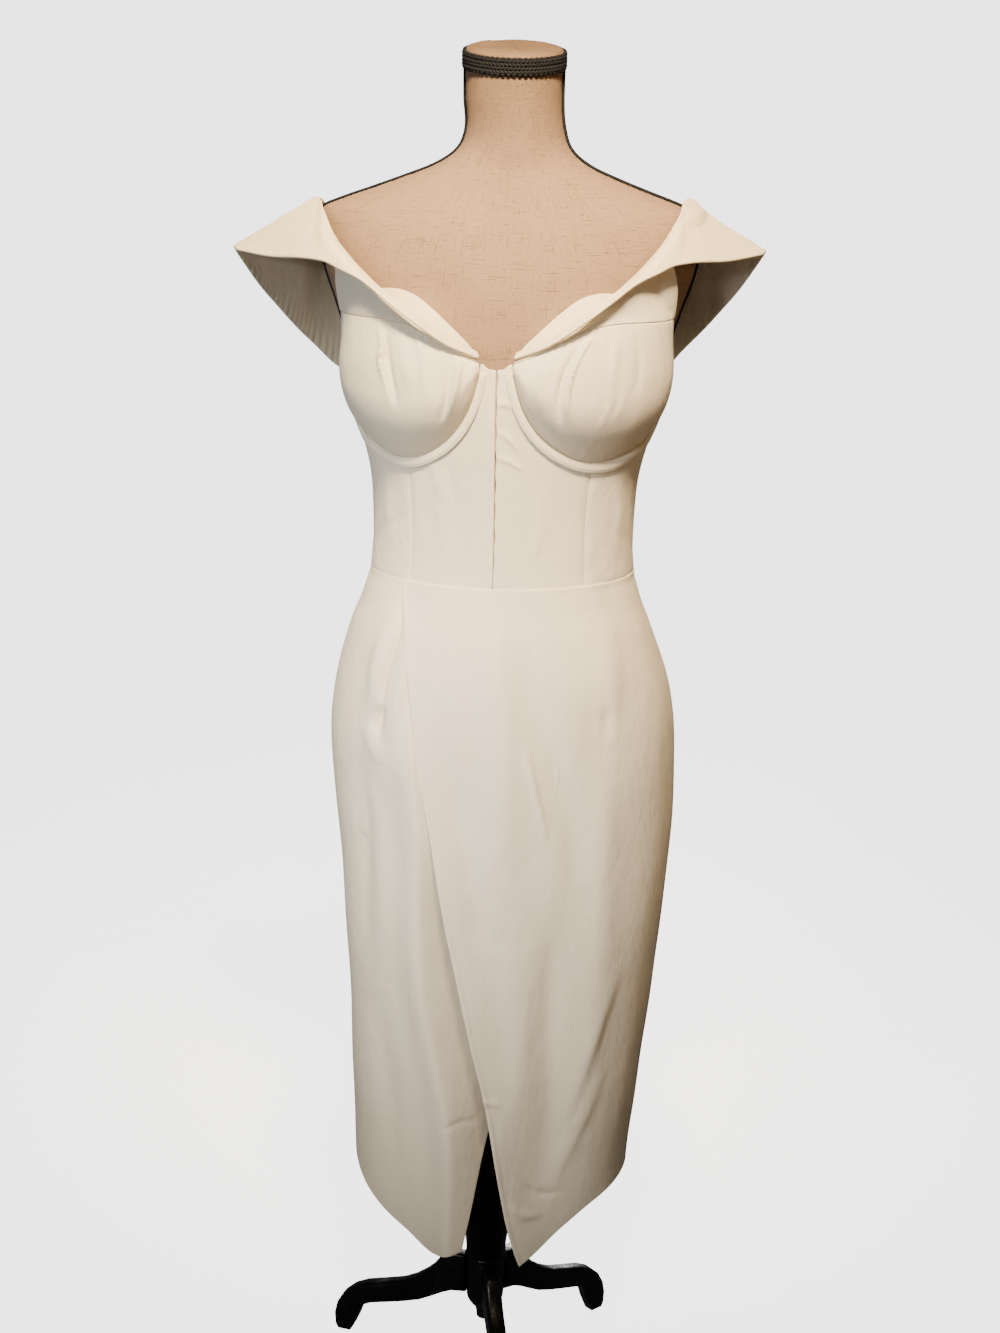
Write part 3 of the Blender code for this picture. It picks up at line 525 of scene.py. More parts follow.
for label, height in (("top", -0.0006), ("bottom", -0.0139)):
    plait.append(beads("neck_braid_scallops_" + label, [neck_line(height, 0.0011)], BLACK_BRAID,
                       0.0050, 0.0044, 0.0032, 0.0024))
for strand in plait:
    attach(strand, "root")


def capped_rings(count, around):
    """Faces of rings of points stacked into a closed round bar, whose two end points come last."""
    last = (count - 1) * around
    faces = [(r * around + k, r * around + (k + 1) % around,
              (r + 1) * around + (k + 1) % around, (r + 1) * around + k)
             for r in range(count - 1) for k in range(around)]
    faces += [((k + 1) % around, k, count * around) for k in range(around)]
    faces += [(last + k, last + (k + 1) % around, count * around + 1) for k in range(around)]
    return faces


def tube(name, line, radius, material, around=12):
    """Round cord along a line, with closed ends."""
    line = np.asarray(line)
    run = np.gradient(line, axis=0)
    run /= np.linalg.norm(run, axis=1, keepdims=True)
    side = np.cross(run, (0.0, 1.0, 0.0))
    side /= np.linalg.norm(side, axis=1, keepdims=True)
    up = np.cross(side, run)
    turn = np.linspace(0, 2 * math.pi, around, endpoint=False)[None, :, None]
    rings = line[:, None] + radius * (np.cos(turn) * side[:, None] + np.sin(turn) * up[:, None])
    points = np.concatenate([rings.reshape(-1, 3), line[:1], line[-1:]])
    return piece(name, points, capped_rings(len(line), around), np.zeros((len(points), 2)), material)


for side_name, side in SIDES:
    heights = np.concatenate([np.linspace(PIPING_TOP, 1.235, 14), np.linspace(1.232, 1.168, 50),
                              np.linspace(1.164, PIPING_LOW, 40)])
    radius = PIPING_RADIUS[side_name]
    seam = np.full(len(heights), side * math.pi / 2)
    cord_line = skin(seam, heights, radius * 0.7 - FORM_IN)
    cord_out = facing(seam, heights)[1]
    core = tube("piping_cord_" + side_name, standing(cord_line), radius * 0.82, BLACK_BRAID)
    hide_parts("piping_" + side_name)
    twist = beads("piping_twist_" + side_name, [(standing(cord_line), cord_out)], BLACK_BRAID,
                  0.0011, radius * 2.3, 0.0012, radius * 2.05, 0.9, rings=6)
    for strand in (core, twist):
        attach(strand, "root")


# Bodice. Two centre fronts, hooked edge to edge down the middle over a placket strip, two side fronts set on
# by princess seams, and two backs, all of one layer of firm ivory crepe cut close to the body.
WAIST_Z, WAIST_DIP, UNDERARM_Z, SEAM, SEAM_PUFF = 0.8450, 0.0065, 1.036, 0.0006, 0.0008
PRINCESS_LOW, PLACKET, PLACKET_LIFT = 0.848, 0.0010, 0.0018
BACK_DART, DART_WIDTH = 2.42, 0.020
GORE_TOP = (
    # bearing, z
    (0.000, 1.0366),
    (0.070, 1.0378),
    (0.128, 1.0418),
)
WIRE = (
    # bearing, z
    (0.135, 1.0340),
    (0.205, 1.0070),
    (0.305, 0.9876),
    (0.435, 0.9728),
    (0.605, 0.9612),
    (0.770, 0.9550),
    (0.975, 0.9548),
    (1.130, 0.9610),
    (1.295, 0.9700),
    (1.400, 0.9850),
    (1.450, 1.0050),
    (1.460, 1.0300),
)


def ivory(name, painted_warm_light=0.0, painted_shade=0.0, painted_shade_colour=(0.62, 0.57, 0.50)):
    """Finish of the firm ivory crepe: fine uneven weave, faint cloudiness, a soft low sheen, and where asked a tint
    of painted warm light and patches of painted shade.
    """
    crepe = Finish(name, Roughness=0.60, Sheen_Weight=0.06, Sheen_Roughness=0.45, Specular_IOR_Level=0.34)
    where = crepe.place()
    warp = crepe.noise(crepe.stretched(where, (2100, 260, 1)), 1.0, 2.0, 0.55)
    weft = crepe.noise(crepe.stretched(where, (260, 2100, 1)), 1.0, 2.0, 0.55)
    clouds = crepe.noise(where, 16, 3.0, 0.55)
    puckers = crepe.noise(crepe.stretched(where, (70, 38, 1)), 1.0, 2.0, 0.5)
    tone = crepe.blend((warp + weft) * 0.5, (0.76, 0.665, 0.500), (0.86, 0.775, 0.610))
    tone = crepe.blend(clouds.between(0.35, 0.70) * 0.20, tone, (0.80, 0.69, 0.50))
    # Painted warm light: a warm tint over the whole piece.
    if painted_warm_light:
        tone = crepe.blend(painted_warm_light, tone, (0.86, 0.69, 0.43))
    # Painted shade: the crepe darkens in patches towards the given shade colour.
    if painted_shade:
        tone = crepe.blend(clouds.between(0.48, 0.62) * 0.5 * painted_shade + 0.5 * painted_shade, tone, painted_shade_colour)
    low = crepe.relief(puckers, 0.0011)
    return crepe.paint(Base_Color=tone, Normal=crepe.relief(warp + weft, 0.00022, low))


IVORY = ivory("ivory_crepe")


def turned(side, b):
    """Bearing on the body of a place b round from the dress's own centre front, on one side."""
    return side * b + DRESS_TURN * (1 - b / (math.pi / 2))


def waist(u):
    """Height of the waist seam, which dips at the front."""
    return WAIST_Z - WAIST_DIP * np.maximum(0.0, np.cos(u)) ** 0.7


def along(points, count, metric=(BODY_RADIUS, 1.0)):
    """Evenly spaced points on a smooth line through the given ones."""
    points = np.asarray(points, float)
    weights = np.asarray(metric if len(metric) == points.shape[1] else (1.0,) * points.shape[1])
    run = np.concatenate([[0], np.cumsum(np.linalg.norm(np.diff(points, axis=0) * weights, axis=1))])
    return np.moveaxis(read(np.column_stack([run, points]), np.linspace(0, run[-1], count + 1)), 0, -1)


def ruled(lower, upper, rows, bias=1.0):
    """Grids of bearing and height between two edges."""
    t = (np.linspace(0, 1, rows + 1) ** bias)[:, None, None]
    grid = np.asarray(lower)[None] * (1 - t) + np.asarray(upper)[None] * t
    return grid[..., 0], grid[..., 1]


def fold(x, z, path, width, height, lean=1.0):
    """Soft ridge along a path of (x, z), or a trough where height is negative. It dies away at both ends,
    and lean makes its viewer's-right slope wider or narrower than its left."""
    line = along(path, 28, (1.0, 1.0))
    near = np.full(x.shape, 9.0)
    share = np.zeros(x.shape)
    right = np.zeros(x.shape)
    for k, (a, b) in enumerate(zip(line, line[1:])):
        run = b - a
        t = np.clip(((x - a[0]) * run[0] + (z - a[1]) * run[1]) / (run @ run), 0, 1)
        away = np.hypot(x - a[0] - t * run[0], z - a[1] - t * run[1])
        nearer = away < near
        near = np.where(nearer, away, near)
        share = np.where(nearer, (k + t) / (len(line) - 1), share)
        down = -1 if run[1] > 0 else 1
        right = np.where(nearer, down * ((x - a[0]) * run[1] - (z - a[1]) * run[0]) < 0, right)
    spread = np.where(right, width * lean, width)
    return height * np.exp(-(near / spread) ** 2) * np.sin(math.pi * np.clip(share, 0.02, 0.98)) ** 0.7


def folds(x, z, table):
    """Sum of a table's folds: width, height, lean, path."""
    return sum((fold(x, z, path, width, height, lean) for width, height, lean, path in table), np.zeros(x.shape))


def unevenness(x, z, size, phase=0.0):
    """Slow wandering of cloth that hangs or is pulled, to about the size given."""
    return size * (0.5 * np.sin(31 * x + 19 * z + phase) * np.sin(23 * z - 11 * x + 2 * phase)
                   + 0.3 * np.sin(67 * x - 37 * z + 3 * phase) + 0.2 * np.sin(53 * z + 90 * x + phase))


def shell(name, grid, thickness, material, rim=4):
    """Closed cloth of a grid of points across its middle, with rounded edges. Outward is the side from
    which the columns run to the right and the rows run up."""
    rows, cols = grid.shape[:2]
    thick = np.broadcast_to(np.asarray(thickness, float), (rows, cols))
    across, up = np.gradient(grid, axis=1), np.gradient(grid, axis=0)
    normal = np.cross(across, up)
    normal /= np.linalg.norm(normal, axis=-1, keepdims=True) + 1e-12
    half = thick[..., None] / 2
    front, back = grid + normal * half, grid - normal * half
    number = np.arange(rows * cols).reshape(rows, cols)
    loop = np.concatenate([number[0], number[1:, -1], number[-1, -2::-1], number[-2:0:-1, 0]])
    flat_grid, flat_normal = grid.reshape(-1, 3), normal.reshape(-1, 3)
    edge = flat_grid[loop]
    run = np.roll(edge, -1, 0) - np.roll(edge, 1, 0)
    outward = np.cross(run, flat_normal[loop])
    outward /= np.linalg.norm(outward, axis=1, keepdims=True) + 1e-12
    edge_half = thick.reshape(-1)[loop][:, None] / 2
    rims = [edge + edge_half * (math.cos(a) * flat_normal[loop] + math.sin(a) * outward)
            for a in (math.pi * j / rim for j in range(1, rim))]
    points = np.concatenate([front.reshape(-1, 3), back.reshape(-1, 3), *rims])
    a, b, c, d = number[:-1, :-1], number[:-1, 1:], number[1:, 1:], number[1:, :-1]
    shift = rows * cols
    faces = np.stack([a, b, c, d], -1).reshape(-1, 4).tolist()
    faces += (np.stack([d, c, b, a], -1).reshape(-1, 4) + shift).tolist()
    rings = [loop, *[2 * shift + j * len(loop) + np.arange(len(loop)) for j in range(rim - 1)], loop + shift]
    for ring, after in zip(rings, rings[1:]):
        faces += np.stack([ring, after, np.roll(after, -1), np.roll(ring, -1)], -1).tolist()
    steps_u = np.linalg.norm(np.diff(grid, axis=1), axis=-1)
    steps_v = np.linalg.norm(np.diff(grid, axis=0), axis=-1)
    u = np.concatenate([np.zeros((rows, 1)), np.cumsum(steps_u, 1)], 1)
    v = np.concatenate([np.zeros((1, cols)), np.cumsum(steps_v, 0)], 0)
    uv = np.stack([u - u[:, cols // 2][:, None], v], -1).reshape(-1, 2)
    uv = np.concatenate([uv, uv, *[uv[loop]] * (rim - 1)])
    return piece(name, standing(points), faces, uv, material)


def surface_area(grid):
    """Area of a grid of points."""
    one = np.cross(grid[:-1, 1:] - grid[:-1, :-1], grid[1:, :-1] - grid[:-1, :-1])
    two = np.cross(grid[1:, :-1] - grid[1:, 1:], grid[:-1, 1:] - grid[1:, 1:])
    return (np.linalg.norm(one, axis=-1).sum() + np.linalg.norm(two, axis=-1).sum()) / 2


def dress_piece(thing, grid, node, fullness=1.0):
    """Hang one piece of the dress on the root and hide the part that it replaces, with the cut measured on its
    surface.
    """
    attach(thing, "root")
    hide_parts(node)
    width = np.linalg.norm(np.diff(grid, axis=1), axis=-1).sum(1).max() * fullness
    length = max(np.linalg.norm(np.diff(grid, axis=0), axis=-1).sum(0).max(), 0.0102)
    area = min(max(surface_area(grid) * fullness, 0.31 * width * length), width * length)


def sewn(b, z, ends):
    """Cloth of a panel drawn down into its seams, which run at both ends and along the waist."""
    down = np.exp(-((z - waist(b)) / 0.0035) ** 2)
    for end in ends:
        down = np.maximum(down, np.exp(-((b - end) / 0.026) ** 2) * (np.abs(end) > 0.1))
    return SEAM_PUFF * (1 - down)


def front_panel(side, lower, upper, rows, creases, edge_gap=None):
    """Grid of a front panel between its waist line and its top line."""
    b, z = ruled(lower, upper, rows)
    if edge_gap is not None:
        b = b + edge_gap(z) * np.maximum(0, 1 - (b - b[:, :1]) / 0.10) / BODY_RADIUS
    b_ends = b[:, :1], b[:, -1:]
    u = turned(side, b)
    if side < 0:
        u, z, b = u[:, ::-1], z[:, ::-1], b[:, ::-1]
    bare = section(u, z)
    out = LAYER + PLACKET_LIFT * np.exp(-(b / 0.16) ** 2) + unevenness(bare[..., 0], z, 0.00035, side)
    out = out + sewn(b, z, b_ends)
    out = out + folds(bare[..., 0], z, creases)
    return skin(u, z, np.maximum(out, LAYER * 0.9))


CENTRE_CREASES = {
    "left": (
        # width, height, lean, path of (x, z)
        (0.0050, 0.0013, 1.0, ((-0.064, 0.960), (-0.060, 0.940), (-0.052, 0.915))),
        (0.0040, -0.0010, 1.0, ((-0.052, 0.958), (-0.046, 0.935), (-0.040, 0.905))),
        (0.0060, 0.0013, 1.0, ((-0.062, 0.925), (-0.055, 0.900), (-0.058, 0.868))),
        (0.0040, 0.0008, 1.4, ((-0.024, 0.915), (-0.030, 0.880), (-0.022, 0.856))),
    ),
    "right": (
        (0.0022, 0.0014, 1.0, ((-0.011, 1.008), (0.000, 1.008), (0.014, 1.002))),
        (0.0022, 0.0013, 1.0, ((-0.011, 0.985), (0.000, 0.980), (0.012, 0.966))),
        (0.0022, 0.0012, 1.0, ((-0.011, 0.962), (0.004, 0.957), (0.016, 0.948))),
        (0.0050, 0.0009, 0.8, ((0.030, 0.935), (0.034, 0.900), (0.026, 0.862))),
    ),
}
SIDE_CREASES = {
    "left": (
        (0.0050, 0.0010, 1.0, ((-0.100, 0.940), (-0.104, 0.900), (-0.098, 0.865))),
        (0.0040, -0.0007, 1.0, ((-0.084, 0.905), (-0.110, 0.882), (-0.120, 0.868))),
    ),
    "right": (
        (0.0050, 0.0010, 1.0, ((0.098, 0.945), (0.104, 0.905), (0.100, 0.865))),
        (0.0040, -0.0007, 1.0, ((0.090, 0.900), (0.108, 0.880), (0.120, 0.862))),
    ),
}


def opening_gap(side):
    """How far a centre-front edge stands back from the middle: the right one gapes between its hooks."""
    if side < 0:
        return lambda z: np.full(z.shape, 0.0001)
    return lambda z: 0.0021 + 0.0010 * np.abs(np.sin(math.pi * (z - 0.852) / 0.0235)) ** 1.5 * ramp(z, 0.845, 0.87)


for side_name, side in SIDES:
    gap = SEAM / 2 / BODY_RADIUS
    wire = along(WIRE, 72)
    top = along(np.concatenate([GORE_TOP, wire[:37:3]]), 56)
    low = np.linspace(0, PRINCESS_LOW, 57)
    lower = np.stack([low, waist(low) + SEAM / 2], -1)
    for edge in (lower, top):
        edge[0, 0] += 2 * gap
        edge[-1, 0] -= gap
    centre = front_panel(side, lower, top, 110, CENTRE_CREASES[side_name], opening_gap(side))
    reach = np.linalg.norm(centre - (centre[:, :1] if side > 0 else centre[:, -1:]), axis=-1)
    roll = CLOTH + (0.0009 if side < 0 else 0.0003) * np.exp(-(reach / 0.0020) ** 2)
    centre_piece = shell("centre_front_" + side_name, centre, roll, IVORY, rim=6)
    dress_piece(centre_piece, centre, "bodice_centre_front_" + side_name)

    top = np.concatenate([wire[36:], [[math.pi / 2 - gap, UNDERARM_Z]]])
    top = np.concatenate([along(top[:-1], 44), np.linspace(top[-2], top[-1], 6)[1:]])
    top[0, 0] += gap
    low = np.linspace(PRINCESS_LOW + gap, math.pi / 2 - gap, len(top))
    lower = np.stack([low, waist(low) + SEAM / 2], -1)
    flank = front_panel(side, lower, top, 90, SIDE_CREASES[side_name])
    flank_piece = shell("side_front_" + side_name, flank, CLOTH, IVORY)
    dress_piece(flank_piece, flank, "bodice_side_front_" + side_name)

    bearings = side * np.linspace(math.pi / 2 + gap, math.pi - gap, 61)
    lower = np.stack([bearings, waist(bearings) + SEAM / 2], -1)
    upper = np.stack([bearings, np.linspace(UNDERARM_Z, UNDERARM_Z - 0.004, 61)], -1)
    u, z = ruled(lower, upper, 90)
    if side < 0:
        u, z = u[:, ::-1], z[:, ::-1]
    bare = section(u, z)
    dart = 0.0009 * np.exp(-((np.abs(u) - BACK_DART) / DART_WIDTH) ** 2) * (1 - ramp(z, 0.93, 0.99))
    back = skin(u, z, LAYER + unevenness(bare[..., 0], z, 0.0005, 3 * side) - dart * 0.6)
    back_piece = shell("bodice_back_cloth_" + side_name, back, CLOTH, IVORY)
    dress_piece(back_piece, back, "bodice_back_" + side_name)

strip_columns = [DRESS_TURN + k * 0.044 for k in np.linspace(-2, 2, 9)]
u, z = ruled([(column, waist(DRESS_TURN) + 0.003) for column in strip_columns],
             [(column, 1.034) for column in strip_columns], 60)
strip = skin(u, z, CLEAR + PLACKET / 2)
# The placket strip's crepe is painted nearly black: painted shade in the gap between the two centre fronts.
strip_piece = shell("placket_strip", strip, PLACKET, ivory("placket_crepe_painted_shade", painted_shade=0.96, painted_shade_colour=(0.11, 0.08, 0.055)))
dress_piece(strip_piece, strip, "front_placket")


# Cups. Gathered crepe over a moulded cup, its lower edge in a stitched underwire casing, with a plain band
# across its top and the rounded petal of the sweetheart neckline standing behind the band.
WIRE_GAP, BAND_STEP, BAND_GAP, FULLNESS = 0.0014, 0.0019, 0.0035, 1.25
CASING_WIDTH, CASING_CLOTH, CASING_ROWS, CASING_STITCHES = 0.0078, 0.0013, 17, (3, 13)
WING_LIFT = {"left": 0.0, "right": 0.007}
CUP_RISE, CUP_CREST, CUP_MIDDLE = 0.026, 0.50, (0.76, 1.035)
CUP_SEAM = (
    # bearing, z
    (0.150, 1.0425),
    (0.345, 1.0515),
    (0.530, 1.0635),
    (0.700, 1.0730),
    (0.870, 1.0780),
    (1.060, 1.0800),
    (1.290, 1.0815),
)
BAND_TOP = (
    # share, x, y, z
    (0.00, 0.0180, -0.1085, 1.0450),
    (0.20, 0.0420, -0.1172, 1.0574),
    (0.40, 0.0650, -0.1215, 1.0700),
    (0.58, 0.0895, -0.1165, 1.0865),
    (0.72, 0.1060, -0.1070, 1.0990),
    (0.82, 0.1190, -0.0970, 1.1100),
    (0.92, 0.1340, -0.0790, 1.1230),
    (1.00, 0.1470, -0.0590, 1.1330),
)
PETAL = (
    # share, x, z, depth
    (0.00, 0.0195, 1.0505, 0.003),
    (0.18, 0.0260, 1.0590, 0.012),
    (0.36, 0.0400, 1.0725, 0.018),
    (0.54, 0.0560, 1.0870, 0.022),
    (0.70, 0.0720, 1.0985, 0.026),
    (0.85, 0.0880, 1.1035, 0.024),
    (1.00, 0.1040, 1.1035, 0.018),
)
CUP_CREASES = {
    "left": (
        # width, height, lean, path of (x, z)
        (0.0022, 0.0040, 0.5, ((-0.113, 1.079), (-0.109, 1.060), (-0.110, 1.044), (-0.105, 1.026), (-0.102, 1.012))),
        (0.0034, -0.0052, 1.0, ((-0.106, 1.066), (-0.105, 1.044), (-0.101, 1.026), (-0.096, 1.008))),
        (0.0050, 0.0020, 1.2, ((-0.094, 1.075), (-0.090, 1.050), (-0.084, 1.020))),
        (0.0034, 0.0018, 0.8, ((-0.078, 1.070), (-0.073, 1.044), (-0.070, 1.012))),
        (0.0030, -0.0018, 1.0, ((-0.064, 1.062), (-0.060, 1.036), (-0.062, 1.006))),
        (0.0026, 0.0040, 0.8, ((-0.044, 1.052), (-0.042, 1.034), (-0.047, 1.012), (-0.052, 0.996))),
        (0.0038, -0.0042, 1.0, ((-0.050, 1.046), (-0.052, 1.018), (-0.058, 0.994))),
        (0.0024, 0.0018, 1.0, ((-0.030, 1.046), (-0.030, 1.022), (-0.040, 0.998))),
    ),
    "right": (
        (0.0028, 0.0046, 0.6, ((0.074, 1.070), (0.060, 1.048), (0.053, 1.024), (0.053, 1.002))),
        (0.0034, -0.0056, 1.0, ((0.064, 1.060), (0.051, 1.038), (0.046, 1.014), (0.048, 0.994))),
        (0.0045, 0.0018, 1.0, ((0.040, 1.056), (0.030, 1.030), (0.030, 1.006))),
        (0.0040, 0.0015, 1.0, ((0.096, 1.072), (0.092, 1.045), (0.090, 1.015))),
        (0.0028, -0.0016, 1.0, ((0.112, 1.070), (0.116, 1.045), (0.112, 1.020))),
        (0.0020, 0.0011, 1.0, ((0.104, 1.030), (0.100, 1.012), (0.092, 0.996))),
        (0.0020, 0.0011, 1.0, ((0.094, 1.022), (0.088, 1.006), (0.082, 0.992))),
        (0.0026, 0.0014, 1.0, ((0.016, 1.042), (0.014, 1.020), (0.024, 1.000))),
    ),
}


def resting(points, gap):
    """The points, moved straight out where they would come nearer to the form than the gap."""
    points = np.array(points, float)
    for _ in range(4):
        shift = read(BODY, points[..., 2])[4]
        u = np.arctan2(points[..., 0] - shift, -points[..., 1])
        here, normal = facing(u, points[..., 2])
        lift = np.where(points[..., 1] < 0, bust(here[..., 0], points[..., 2]), 0.0)
        beyond = np.hypot(points[..., 0] - shift, points[..., 1]) - np.hypot(here[..., 0] - shift, here[..., 1])
        short = gap + lift - beyond * np.hypot(normal[..., 0], normal[..., 1])
        points += normal * np.maximum(short, 0)[..., None]
    return points


def cup_surface(side, lower, upper, t, creases):
    """Points of a cup's cloth, at shares t of the way from its wire to its top seam."""
    steps = len(lower)
    s = np.linspace(0, 1, steps)[None]
    t = np.asarray(t)[:, None]
    b = lower[None, :, 0] * (1 - t) + upper[None, :, 0] * t
    z = lower[None, :, 1] * (1 - t) + upper[None, :, 1] * t
    swell = CUP_RISE * np.sin(math.pi * (0.05 + 0.93 * s) ** 0.86) ** 0.8
    rising = np.sin(math.pi / 2 * np.minimum(t / CUP_CREST, 1)) ** 0.95
    falling = 1 - 0.28 * (np.maximum(t - CUP_CREST, 0) / (1 - CUP_CREST)) ** 2
    u = turned(side, b)
    bare = section(u, z)
    body = skin(u, z, LAYER + swell * rising * falling)
    near_seams = ramp(t, 0.80, 1.0) + 0.7 * (1 - ramp(t, 0.0, 0.16))
    gathers = 0.0004 * np.sin(95 * s * math.pi / 2 + 3 * np.sin(9 * s)) * near_seams
    inside = ramp(t, 0.0, 0.10) * (1 - ramp(t, 0.93, 1.0))
    lift = folds(body[..., 0], z, creases) * inside + gathers + unevenness(bare[..., 0], z, 0.0006, side)
    return skin(u, z, LAYER + swell * rising * falling + lift * ramp(t, 0.0, 0.05))


STITCH_PITCH, STITCH_LENGTH, STITCH_WIDTH, STITCH_HEIGHT = 0.0026, 0.0020, 0.00045, 0.0004
STITCH = Finish("ivory_thread", Roughness=0.5, Sheen_Weight=0.2)
thread_tone = STITCH.blend(STITCH.noise(STITCH.place(uv=False), 2400), (0.74, 0.69, 0.58), (0.86, 0.82, 0.72))
IVORY_THREAD = STITCH.paint(Base_Color=thread_tone)


def normals(grid):
    """Directions straight out from a grid of points."""
    out = np.cross(np.gradient(grid, axis=1), np.gradient(grid, axis=0))
    return out / (np.linalg.norm(out, axis=-1, keepdims=True) + 1e-12)


def stitch_row(name, lines):
    """Machine stitches, about four to the centimetre, sunk half into the cloth."""
    row = beads(name, [(standing(line), out) for line, out in lines], IVORY_THREAD,
                STITCH_PITCH, STITCH_LENGTH, STITCH_WIDTH, STITCH_HEIGHT, rings=4)
    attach(row, "root")


# The petal's crepe carries a tint of painted warm light.
PETAL_PAINTED_WARM_LIGHT = ivory("petal_crepe_painted_warm_light", painted_warm_light=0.60)
BAND_CREPE = ivory("band_crepe")
for side_name, side in SIDES:
    steps = 88
    wire = along(WIRE, steps)
    to_middle = np.stack([(CUP_MIDDLE[0] - wire[:, 0]) * BODY_RADIUS, CUP_MIDDLE[1] - wire[:, 1]], -1)
    to_middle /= np.linalg.norm(to_middle, axis=1, keepdims=True)
    in_step = to_middle / np.array([BODY_RADIUS, 1.0])
    lower = wire + in_step * WIRE_GAP
    upper = along(CUP_SEAM, steps)
    t = np.concatenate([[0, 0.015, 0.035], np.linspace(0.06, 1.0, 66)])
    cup = cup_surface(side, lower, upper, t, CUP_CREASES[side_name])
    rim_line = cup[-1]
    if side < 0:
        cup = cup[:, ::-1]
    cup_piece = shell("gathered_cup_" + side_name, cup, CLOTH, IVORY)
    dress_piece(cup_piece, cup, "cup_" + side_name, fullness=FULLNESS)

    distance = np.linspace(0.0002, CASING_WIDTH, CASING_ROWS)
    path = wire[None] - in_step[None] * distance[:, None, None]
    u = turned(side, path[..., 0])
    across = np.linspace(0, 1, CASING_ROWS)[:, None]
    crown = np.minimum(1, 2.4 * np.sin(math.pi * across)) + 0.25 * np.sin(math.pi * across)
    crown -= 0.42 * (np.exp(-((across - 0.22) / 0.07) ** 2) + np.exp(-((across - 0.78) / 0.07) ** 2))
    casing = skin(u, path[..., 1], LAYER + CLOTH + 0.0006 + PLACKET_LIFT * 0.35 + 0.0012 * crown)
    casing = casing[::-1]
    if side < 0:
        casing = casing[:, ::-1]
    casing_piece = shell("wire_casing_" + side_name, casing, CASING_CLOTH, IVORY)
    dress_piece(casing_piece, casing, "underwire_casing_" + side_name)
    out = normals(casing)
    stitch_row("casing_stitches_" + side_name,
               [(casing[r] + out[r] * 0.00068, out[r]) for r in CASING_STITCHES])

    start = rim_line + np.array([0, 0, BAND_STEP])
    edge = np.moveaxis(read(BAND_TOP, np.linspace(0, 1, steps + 1)), 0, -1)
    high = ramp(np.linspace(0, 1, steps + 1), 0.35, 0.70)
    edge[:, 1] += 0.0015 * high
    edge[:, 2] += (0.0010 + 0.45 * WING_LIFT[side_name]) * high
    edge[:, 0] = side * edge[:, 0] + DRESS_X
    share = np.linspace(0, 1, 25)[:, None, None]
    band = start[None] * (1 - share) + edge[None] * share
    band[..., 1] += 0.003 * np.sin(math.pi * share[..., 0])
    band = resting(band, BAND_GAP)
    if side < 0:
        band = band[:, ::-1]
    band_piece = shell("upper_band_" + side_name, band, CLOTH, BAND_CREPE)
    dress_piece(band_piece, band, "cup_band_" + side_name)

    x, z, depth = read(PETAL, np.linspace(0, 1, 61))
    share = np.linspace(0, 1, 25)[:, None]
    z = z[None] - depth[None] * (1 - share)
    x = side * x[None] + DRESS_X + 0 * z
    if side < 0:
        x, z = x[:, ::-1], z[:, ::-1]
    petal = skin(bearing(x, z), z, LAYER + unevenness(x, z, 0.0005, side), busted=True)
    petal_piece = shell("neckline_petal_" + side_name, petal, CLOTH, PETAL_PAINTED_WARM_LIGHT)
    dress_piece(petal_piece, petal, "petal_" + side_name)


# Collar. A doubled band of crepe that folds over along a ridge at each shoulder: the front half runs from the
# centre front out to a pointed wing, the back half hangs from the same ridge and runs to the centre back. Its
# free edge is a soft rolled turn, and the back half's lower edge is hemmed by hand.
COLLAR_CLOTH, COLLAR_GAP, OVER_PIPING, OVER_BODICE, ON_SHOULDER = 0.0024, 0.0036, 0.0012, 0.0012, 0.0009
SMOOTHINGS = 160
FRONT_COLLAR = (
    # share, upper x, y, z, lower x, y, z, camber
    (0.00, 0.2425, -0.0013, 1.1345, 0.2385, -0.0080, 1.1325, 0.000),
    (0.12, 0.2130, -0.0012, 1.1525, 0.2060, -0.0330, 1.1285, -0.002),
    (0.24, 0.1830, -0.0012, 1.1705, 0.1770, -0.0590, 1.1290, -0.005),
    (0.31, 0.1670, -0.0020, 1.1795, 0.1640, -0.0700, 1.1285, -0.007),
    (0.38, 0.1585, -0.0310, 1.1680, 0.1520, -0.0790, 1.1270, -0.007),
    (0.46, 0.1460, -0.0610, 1.1470, 0.1380, -0.0890, 1.1210, -0.005),
    (0.54, 0.1310, -0.0770, 1.1300, 0.1235, -0.0985, 1.1150, -0.003),
    (0.62, 0.1170, -0.0900, 1.1170, 0.1130, -0.1060, 1.1090, -0.001),
    (0.70, 0.1020, -0.1065, 1.1050, 0.1000, -0.1150, 1.0995, 0.000),
    (0.80, 0.0790, -0.1175, 1.0890, 0.0765, -0.1245, 1.0825, 0.000),
    (0.90, 0.0470, -0.1160, 1.0665, 0.0455, -0.1220, 1.0615, 0.000),
    (1.00, 0.0180, -0.1065, 1.0525, 0.0165, -0.1115, 1.0490, 0.000),
)
BACK_COLLAR = (
    # share, upper x, y, z, lower x, y, z, camber
    (0.00, 0.2425, 0.0013, 1.1345, 0.2400, 0.0050, 1.1290, 0.000),
    (0.14, 0.2130, 0.0012, 1.1525, 0.2230, 0.0240, 1.1010, 0.003),
    (0.28, 0.1830, 0.0012, 1.1705, 0.2050, 0.0430, 1.0770, 0.006),
    (0.37, 0.1670, 0.0020, 1.1795, 0.1930, 0.0540, 1.0620, 0.008),
    (0.48, 0.1585, 0.0310, 1.1690, 0.1750, 0.0690, 1.0420, 0.006),
    (0.60, 0.1400, 0.0600, 1.1520, 0.1540, 0.0820, 1.0200, 0.003),
    (0.74, 0.1100, 0.0780, 1.1360, 0.1200, 0.0920, 1.0080, 0.000),
    (0.88, 0.0620, 0.0850, 1.1200, 0.0700, 0.0980, 1.0030, 0.000),
    (1.00, 0.0016, 0.0900, 1.1140, 0.0016, 0.1000, 1.0020, 0.000),
)


